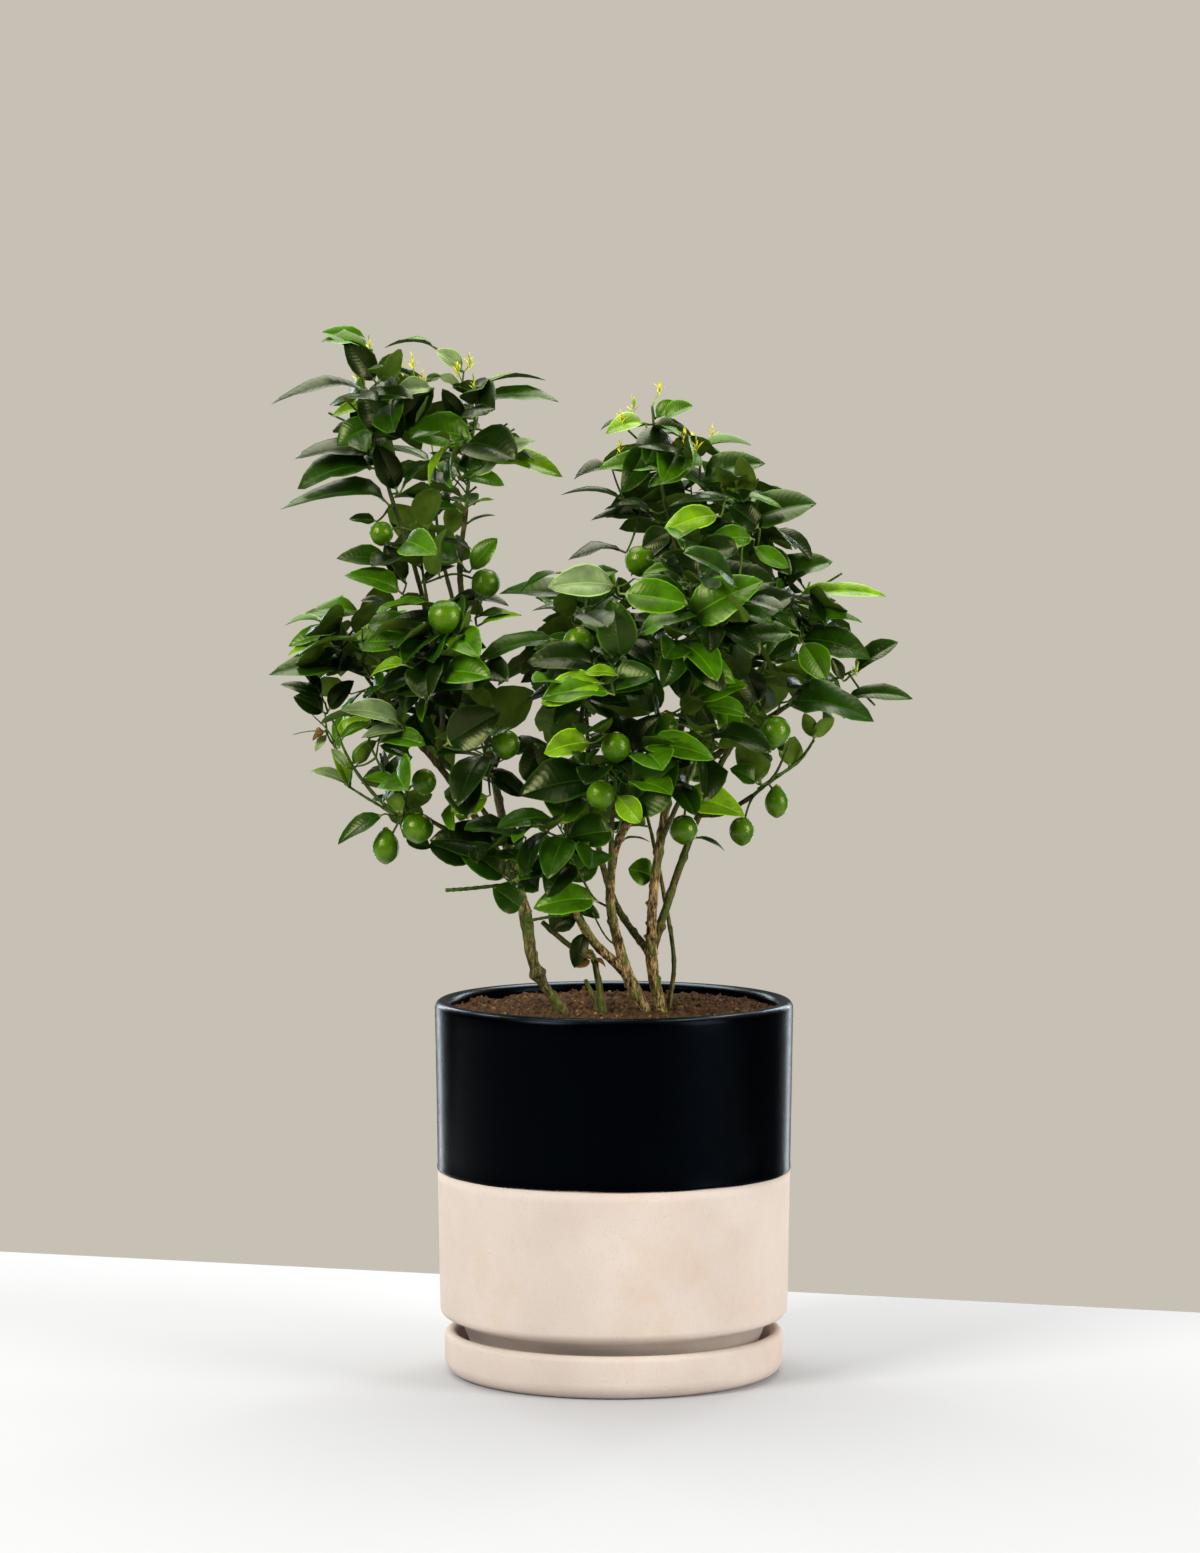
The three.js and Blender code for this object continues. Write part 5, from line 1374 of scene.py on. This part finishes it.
# A colour times a gain, plus a little of each channel
def tonedColour(colour, gain, more=(0, 0, 0)):
    return screenColour(*[min(255, gain * channel + extra) for channel, extra in zip(colour, more)])


# Upper side of a leaf: a paler midrib and margin, and side veins as a faint relief that slants from one to the other
def makeLeafGreen(name, colour):
    look = leafLook
    green = newFinish(name, look)
    darker, lighter = (tonedColour(colour, gain) for gain in leafTones["blotches"])
    blotches = addRamp(green, addNoise(green, look["blotchGrain"], 3), [(0.35, darker), (0.65, lighter)])
    place = addNode(green, "ShaderNodeUVMap", uv_map="blade").outputs["UV"]
    parts = addNode(green, "ShaderNodeSeparateXYZ", {"Vector": place}).outputs
    aside = addMath(green, "ABSOLUTE", addMath(green, "SUBTRACT", parts["Y"], 0.5))
    rib = addGreys(green, aside, look["rib"], (1, 0))
    margin = addGreys(green, aside, look["margin"], (0, 1))
    blotches = mixColours(green, rib, blotches, tonedColour(colour, *leafTones["rib"]))
    connect(green, mixColours(green, margin, blotches, tonedColour(colour, *leafTones["margin"])), "Base Color")
    slant = addMath(green, "SUBTRACT", parts["X"], addMath(green, "MULTIPLY", aside, look["veinSlant"]))
    veins = addMath(green, "SINE", addMath(green, "MULTIPLY", slant, look["veins"]))
    grain, relief = look["blisters"]
    addRelief(green, [(veins, look["veinRelief"]), (addNoise(green, grain, 2), relief)])
    return green


# The greens, then the underside and the stalk that all leaves share
def makeLeafMaterials():
    found = [makeLeafGreen(name, colour) for name, colour in leafGreens.items()]
    under = newFinish("olive underside", undersideLook)
    addMottle(under, undersideLook["toneNoise"], undersideLook["tones"])
    addNoiseRelief(under, undersideLook["grit"])
    stalk = newFinish("green leaf stalk", stalkLook)
    addNoiseRelief(stalk, stalkLook["grit"])
    return [*found, under, stalk]


# The material of each face of a leaf, by its station and its column across
def faceMaterialsOf(greens):
    stations, sides = len(bladePlan["stations"]), len(bladePlan["across"]) + 1
    station, column = np.meshgrid(np.arange(stations - 1), np.arange(sides), indexing="ij")
    under, stalk = len(leafGreens), len(leafGreens) + 1
    kinds = np.where(column >= sides - 2, under, -1)
    kinds = np.where(station < 2, stalk, kinds).ravel()
    quads = np.where(kinds[None] < 0, greens[:, None], kinds[None]).ravel()
    ends = np.column_stack([np.full(len(greens), stalk), greens]).ravel()
    return np.concatenate([quads, ends])


# All leaves of a list as one mesh: points, face sets and places on the blade
def leafMesh(found, variations):
    points, uv = leafSurfaces(found, variations)
    each = points.shape[1] * points.shape[2]
    faceSets = [repeatFaces(faces, len(found), each) for faces in leafFaces()]
    return points.reshape(-1, 3), faceSets, uv.reshape(-1, 2)


# The edges that run along the margins and the midrib part the shading of the faces on their two sides
def sharpenMargins(piece, sides):
    mesh = piece.data
    ends = np.empty(2 * len(mesh.edges), np.int32)
    mesh.edges.foreach_get("vertices", ends)
    first, second = (ends.reshape(-1, 2) % sides).T
    sharp = (first == second) & np.isin(first, (0, sides // 2 - 1, sides - 2))
    layer = mesh.attributes.new("sharp_edge", "BOOLEAN", "EDGE")
    layer.data.foreach_set("value", sharp)


# What makes a leaf's green lighter: being young and high up; near the middle of its mass it is made darker,
# which is painted shade
leafToneAndShadePlan = {
    "young": 0.25, "youngRanks": 2, "high": 0.10, "highAbove": 700, "inner": 0.5, "innerShadeFrom": 1.1,
    "limits": [0.34, 0.68, 1.0, 1.24],
}
leafVariety = {"fold": (0.6, 0.9), "twist": 0.9, "width": (0.88, 0.22), "seed": 40}  # least value and range


# One piece to a lobe. Each leaf's variations are its fold, wave, phase, twist and width
def makeLeaves():
    materials, plan = makeLeafMaterials(), leafToneAndShadePlan
    for number, (name, members) in enumerate(lobes.items()):
        rng = np.random.default_rng(leafVariety["seed"] + number)
        found = [leaf for member in members for leaf in leaves[member]]
        height = np.array([leaf["root"][2] for leaf in found])
        young = np.array([leaf["rank"] < plan["youngRanks"] for leaf in found])
        middles = np.array([masses[leaf["mass"]][1] for leaf in found])
        radii = np.array([masses[leaf["mass"]][2] for leaf in found])
        roots = np.array([leaf["root"] for leaf in found])
        # Leaves near the middle of their mass get darker greens: painted shade deep in the crown
        inner = np.clip(plan["innerShadeFrom"] - np.linalg.norm(roots - middles, axis=1) / radii, 0, 1)
        bright = rng.random(len(found)) + plan["young"] * young + plan["high"] * (height > plan["highAbove"])
        greens = np.digitize(bright - plan["inner"] * inner, plan["limits"])
        greens = np.array([leaf.get("shade", green) for leaf, green in zip(found, greens)])
        count, (fold, folds), (width, widths) = len(found), leafVariety["fold"], leafVariety["width"]
        variations = np.column_stack([
            fold + folds * rng.random(count), 2 * rng.random(count) - 1,
            2 * np.pi * rng.random(count), leafVariety["twist"] * (rng.random(count) - 0.5),
            (width + widths * rng.random(count)) * [leaf.get("width", 1) for leaf in found],
        ])
        points, faces, uv = leafMesh(found, variations)
        nodes = ["foliage_" + member for member in members]
        piece = addPiece(name, points, faces, materials, nodes, faceMaterialsOf(greens), uv)
        sharpenMargins(piece, len(bladePlan["across"]) + 1)


print("leaves")
makeLeaves()

# Twigs

# Bare twigs that stand out: the points each passes and its radii at foot and tip
bareTwigs = [
    ([(-18, -14, 387), (-9, -4, 369), (-2, 6, 360), (4, 8, 358)], (0.8, 0.8)),
    ([(-20, 12, 397), (-10, 10, 392), (2, 6, 386)], (1.0, 1.0)),
    ([(-139, -52, 409), (-120, -48, 410), (-92, -36, 412)], (1.6, 1.6)),
    ([(-73, -16, 380), (-54, -22, 384), (-38, -22, 386)], (1.3, 1.3)),
    ([(-159, -48, 470), (-177, -50, 472), (-193, -50, 483), (-210, -48, 503), (-222, -44, 523),
      (-234, -36, 552)], (2.0, 1.0)),
    ([(-176, -54, 467), (-190, -52, 477), (-205, -52, 486), (-222, -52, 497)], (1.5, 0.9)),
    ([(-228, -44, 523), (-236, -42, 540), (-249, -40, 553)], (0.9, 0.5)),
    ([(-237, -42, 539), (-248, -42, 540), (-257, -42, 539), (-265, -42, 537)], (0.5, 0.3)),
    ([(120, -8, 489), (138, -14, 502), (154, -18, 514), (166, -20, 531)], (1.7, 1.0)),
]


# Twigs: round surfaces along the shoots, r swelling by a sixth at a node every 9 mm, and along the bare twigs,
# r with slow waves
def makeTwigs():
    green, plan, surfaces = makeBark("green twig"), twigPlan, []
    sides = np.ones(plan["sides"])
    for name in masses:
        for shoot in shoots[name] + twigs[name]:
            length = shootLength(shoot)
            shares = np.linspace(0, 1, max(4, int(length / 3)))
            centres = curveThrough(shoot["centres"], shares)
            radii = np.interp(shares, np.linspace(0, 1, len(shoot["radii"])), shoot["radii"])
            nodes = 1 + 0.16 * np.exp(-((shares * length) % 9 - 4.5) ** 2 / 0.8)
            surfaces.append(sweepPath(centres, (radii * nodes)[:, None] * sides))
    for points, radii in bareTwigs:
        shares = np.linspace(0, 1, plan["bareRings"])
        centres = curveThrough(np.array(points, float), shares)
        radii = np.interp(shares, [0, 1], radii) * (1 + 0.12 * np.sin(1.9 * np.arange(plan["bareRings"])))
        surfaces.append(sweepPath(centres, radii[:, None] * sides))
    points, faces = joinSurfaces(surfaces)
    addPiece("twigs", points, faces, [green], ["foliage_" + name for name in masses])


print("twigs")
makeTwigs()

# Young shoots: thin green stalks that rise from the nearest twig and end in a tuft of small young leaves

youngPlan = {
    "places": [
        (-203, 0, 860), (-167, -6, 844), (-130, 0, 837), (-120, 8, 843), (-116, -14, 827), (-175, 14, 838),
        (-158, -20, 829), (38, 0, 823), (16, 6, 808), (6, -14, 798), (58, -20, 782), (68, -22, 776),
        (5, -24, 775), (201, -20, 590), (-158, 92, 802), (-138, 74, 796), (84, 96, 786), (66, 84, 780),
        (-214, 24, 834),
    ],
    "leaves": 7, "length": (5, 5.5), "lean": (0.15, 1.0), "step": 1.0, "radius": 0.7, "seed": 71,
    "droop": -0.1, "fold": 1.6, "plump": 0.55, "paleShare": 0.3, "yellow": (222, 214, 30), "pale": (150, 176, 40),
    "above": 6, "taper": 0.35, "bow": 0.15, "sides": 7,
}


# A stalk is a round surface that thins along a bent curve. Its tuft's leaves turn by the golden angle and lean
# out more and more towards the foot
def makeYoungShoots():
    plan, rng = youngPlan, np.random.default_rng(youngPlan["seed"])
    wood = np.vstack([shoot["centres"] for name in masses for shoot in shoots[name] + twigs[name]])
    stalks, tufts = [], []
    for place in np.array(plan["places"], float):
        below = wood[wood[:, 2] < place[2] - plan["above"]]
        start = below[np.argmin(np.linalg.norm(below - place, axis=1))]
        reach = np.linalg.norm(place - start)
        bend = start + 0.5 * reach * unit(place - start - plan["bow"] * reach * upward)
        t = np.linspace(0, 1, max(5, int(reach / 3)))[:, None]
        radii = plan["radius"] * (1 - plan["taper"] * t) * np.ones(plan["sides"])
        stalks.append(sweepPath(bentCurve(start, bend, place, t), radii))
        for k in range(plan["leaves"]):
            angle = goldenAngle * k + 0.8 * rng.random()
            lean = plan["lean"][0] + (plan["lean"][1] - plan["lean"][0]) * k / (plan["leaves"] - 1)
            side = np.array([math.cos(angle), math.sin(angle), 0])
            along = math.cos(lean) * upward + math.sin(lean) * side
            normal = math.sin(lean) * upward - math.cos(lean) * side
            tufts.append({
                "root": place - [0, 0, plan["step"] * k], "along": along, "normal": normal,
                "across": np.cross(normal, along), "droop": plan["droop"],
                "length": plan["length"][0] + plan["length"][1] * rng.random(),
            })
    shades = [makeBud("yellow-green young leaf", plan["yellow"]), makeBud("pale green young leaf", plan["pale"])]
    points, faces = joinSurfaces(stalks)
    addPiece("young_stalks", points, faces, [shades[1]])
    count = len(tufts)
    variations = np.column_stack([np.full(count, plan["fold"]), np.zeros((count, 3)), np.full(count, plan["plump"])])
    points, faceSets, uv = leafMesh(tufts, variations)
    shade = (rng.random(count) < plan["paleShare"]).astype(int)
    faceMaterials = np.concatenate([np.repeat(shade, len(faces) // count) for faces in faceSets])
    addPiece("young_leaves", points, faceSets, shades, (), faceMaterials, uv)


# A young leaf's green, a little lighter and darker by turns
def makeBud(name, colour):
    bud = newMaterial(name, {"Base Color": screenColour(*colour), "Roughness": 0.5})
    darker, lighter = (tonedColour(colour, gain) for gain in (0.88, 1.12))
    connect(bud, addRamp(bud, addNoise(bud, 4, 2), [(0.35, darker), (0.65, lighter)]), "Base Color")
    addNoiseRelief(bud, (1.2, 0.15, 2))
    return bud


print("young shoots")
makeYoungShoots()

# Fruit

fruitPlan = {
    "sides": 24, "rings": 16, "nipple": 0.08, "dimple": 0.06, "calyx": 0.24, "neck": 0.3, "pear": 1.15,
    "calyxSides": 20, "seed": 500, "rind": ((38, 82, 0), (80, 118, 2)),
    "roughness": 0.26, "specular": 0.45, "tint": (1.0, 1.0, 0.45, 1), "toneNoise": (14, 3, (0.3, 0.7)),
    "pores": (1.3, 0.16),
}
calyxLook = {"colour": (176, 158, 44), "roughness": 0.7, "grit": (0.8, 0.3, 2)}


# A long fruit is drawn out to a neck under its stalk
def fruitNeck(fruit):
    return fruitPlan["neck"] if fruit[3] > fruitPlan["pear"] else 0


# A rounded bump of height 1 where an angle is zero
def bump(angle, width):
    return np.exp(-((angle / width) ** 2))


# Fruit: a ball of radius r (1 + a nipple at the foot - a dimple at the top + slow lumps), each a rounded bump
# over the tilt from there, drawn out upright by its stretch
def fruitSurface(fruit, number):
    plan, stream = fruitPlan, numberStream(fruitPlan["seed"] + number)
    turn = ringAngles(plan["sides"])
    tilt = math.pi * (np.arange(plan["rings"]) + 1) / (plan["rings"] + 1)
    phase = 2 * math.pi * next(stream)
    body = 1 + plan["nipple"] * bump(tilt, 0.28) - plan["dimple"] * bump(math.pi - tilt, 0.3)
    body = body + fruitNeck(fruit) * bump(math.pi - tilt, 0.45)
    radius = body[:, None] + 0.012 * np.sin(2 * turn + phase) * np.sin(tilt)[:, None]
    radius = radius * fruit[2] / 2
    aside = radius * np.sin(tilt)[:, None]
    ring = np.stack([aside * np.cos(turn), aside * np.sin(turn), -radius * np.cos(tilt)[:, None]], -1)
    foot = -fruit[2] / 2 * (1 + plan["nipple"])
    top = fruit[2] / 2 * (1 - plan["dimple"] + fruitNeck(fruit))
    points = np.vstack([ring.reshape(-1, 3), [[0, 0, foot], [0, 0, top]]])
    points[:, 2] *= fruit[3]
    return points + fruit[1], ringFaces(plan["rings"], plan["sides"])


# Calyx: a small star of five lobes under the stalk, its radius R (0.7 + 0.3 cos 5a)
def calyxSurface(fruit):
    size, sides = fruit[2] * fruitPlan["calyx"] / 2, fruitPlan["calyxSides"]
    top = fruit[2] / 2 * (1 - fruitPlan["dimple"] + fruitNeck(fruit)) * fruit[3]
    turn = ringAngles(sides)
    rim = size * (0.7 + 0.3 * np.cos(5 * turn))
    rings = [np.stack([rim * share * np.cos(turn), rim * share * np.sin(turn), np.full(sides, height)], -1)
             for share, height in ((0.9, -0.3), (1, 0.1), (0.5, 0.7))]
    points = np.vstack([*rings, [[0, 0, -0.4], [0, 0, 1.0]]])
    return points + np.array(fruit[1]) + [0, 0, top], ringFaces(3, sides)


# Rind: a mottled green with fine pores; the calyx on top is dry
def makeFruit():
    plan = fruitPlan
    rind = newFinish("green lime rind", plan)
    addMottle(rind, plan["toneNoise"], plan["rind"])
    grain, relief = plan["pores"]
    sockets = {"Vector": addNode(rind, "ShaderNodeTexCoord").outputs["Object"], "Scale": 1000 / grain}
    addRelief(rind, [(addNode(rind, "ShaderNodeTexVoronoi", sockets).outputs["Distance"], relief)])
    calyx = newFinish("dry green calyx", calyxLook)
    addNoiseRelief(calyx, calyxLook["grit"])
    bodies = joinSurfaces([fruitSurface(fruit, number) for number, fruit in enumerate(fruits)])
    stars = joinSurfaces([calyxSurface(fruit) for fruit in fruits])
    points, faces = joinSurfaces([bodies, stars])
    counts = [sum(map(len, part[1])) for part in (bodies, stars)]
    addPiece("fruit", points, faces, [rind, calyx], ["foliage_" + name for name in masses],
             np.repeat([0, 1], counts))


print("fruit")
makeFruit()

# Floor, light and camera

# The floor's far edge runs from left to right, as x and y; the wall is the backdrop beyond it
floorPlan = {
    "left": (-584, 616), "right": (522, 278), "reach": 9000, "colour": (185, 185, 187), "wall": (199, 192, 180),
}
# Each light's place and size in metres, power and colour, and the height of the tree that all are turned to
lights = {
    "front left softbox": {"at": (-2.5, -2.3, 2.4), "size": (1.5, 1.5), "power": 152, "colour": (1, 0.99, 0.96)},
    "right softbox": {"at": (2.8, -1.6, 1.3), "size": (1.4, 2.2), "power": 104, "colour": (1, 1, 0.99)},
    "top back softbox": {"at": (-0.2, 0.9, 3.0), "size": (3.4, 2.6), "power": 140, "colour": (1, 1, 0.95)},
    "left rim strip": {"at": (-0.92, 1.65, 0.55), "size": (0.22, 1.7), "power": 9, "colour": (0.84, 0.93, 1)},
    "right rim strip": {"at": (0.92, 1.65, 0.55), "size": (0.22, 1.7), "power": 9, "colour": (0.84, 0.93, 1)},
}
lightAim = 0.45
skyPlan = {"colour": (244, 242, 232), "strength": 0.11}


# A level sheet from its far edge, which is slightly turned, to well in front of the camera
def makeFloor():
    plan, reach = floorPlan, floorPlan["reach"]
    pale = newMaterial("pale floor", {"Base Color": screenColour(*plan["colour"]), "Roughness": 0.9})
    left, right = np.array(plan["left"], float), np.array(plan["right"], float)
    way = unit(right - left)
    far = [left - reach * way, right + reach * way]
    near = [far[1] * [1, 0] + [0, -reach], far[0] * [1, 0] + [0, -reach]]
    points = np.array([[*corner, 0] for corner in (*far, *near)])
    mesh = bpy.data.meshes.new("floor")
    mesh.from_pydata((points * mm).tolist(), [], [(0, 3, 2, 1)])
    mesh.materials.append(pale)
    floor = bpy.data.objects.new("floor", mesh)
    bpy.context.scene.collection.objects.link(floor)


# A soft rectangular light turned to the middle of the tree
def addLight(name, plan):
    data = bpy.data.lights.new(name, "AREA")
    data.shape, (data.size, data.size_y) = "RECTANGLE", plan["size"]
    data.energy, data.color = plan["power"], plan["colour"]
    light = bpy.data.objects.new(name, data)
    light.location = plan["at"]
    aim = Vector((0, 0, lightAim)) - light.location
    light.rotation_euler = aim.to_track_quat("-Z", "Y").to_euler()
    bpy.context.scene.collection.objects.link(light)


# The wall's colour as the backdrop, and a faint soft light from all round
def makeWorld():
    world = bpy.data.worlds.new("studio")
    bpy.context.scene.world = world
    world.use_nodes = True
    nodes, links = world.node_tree.nodes, world.node_tree.links
    soft, wall = nodes["Background"], nodes.new("ShaderNodeBackground")
    soft.inputs["Color"].default_value = screenColour(*skyPlan["colour"])
    soft.inputs["Strength"].default_value = skyPlan["strength"]
    wall.inputs["Color"].default_value = screenColour(*floorPlan["wall"])
    mix, path = nodes.new("ShaderNodeMixShader"), nodes.new("ShaderNodeLightPath")
    links.new(path.outputs["Is Camera Ray"], mix.inputs[0])
    links.new(soft.outputs[0], mix.inputs[1])
    links.new(wall.outputs[0], mix.inputs[2])
    links.new(mix.outputs[0], nodes["World Output"].inputs["Surface"])


# The camera stands where the photograph was taken from, pitched slightly down
def makeCamera():
    data = bpy.data.cameras.new("camera")
    data.lens, data.sensor_width = viewPlan["lens"], viewPlan["sensor"]
    camera = bpy.data.objects.new("camera", data)
    camera.location = [value * mm for value in viewPlan["from"]]
    camera.rotation_euler = (math.radians(90 - viewPlan["pitch"]), 0, 0)
    bpy.context.scene.collection.objects.link(camera)
    bpy.context.scene.camera = camera


print("floor, light and camera")
makeFloor()
for name, plan in lights.items():
    addLight(name, plan)
makeWorld()
makeCamera()
bpy.context.scene.view_settings.view_transform = "Standard"
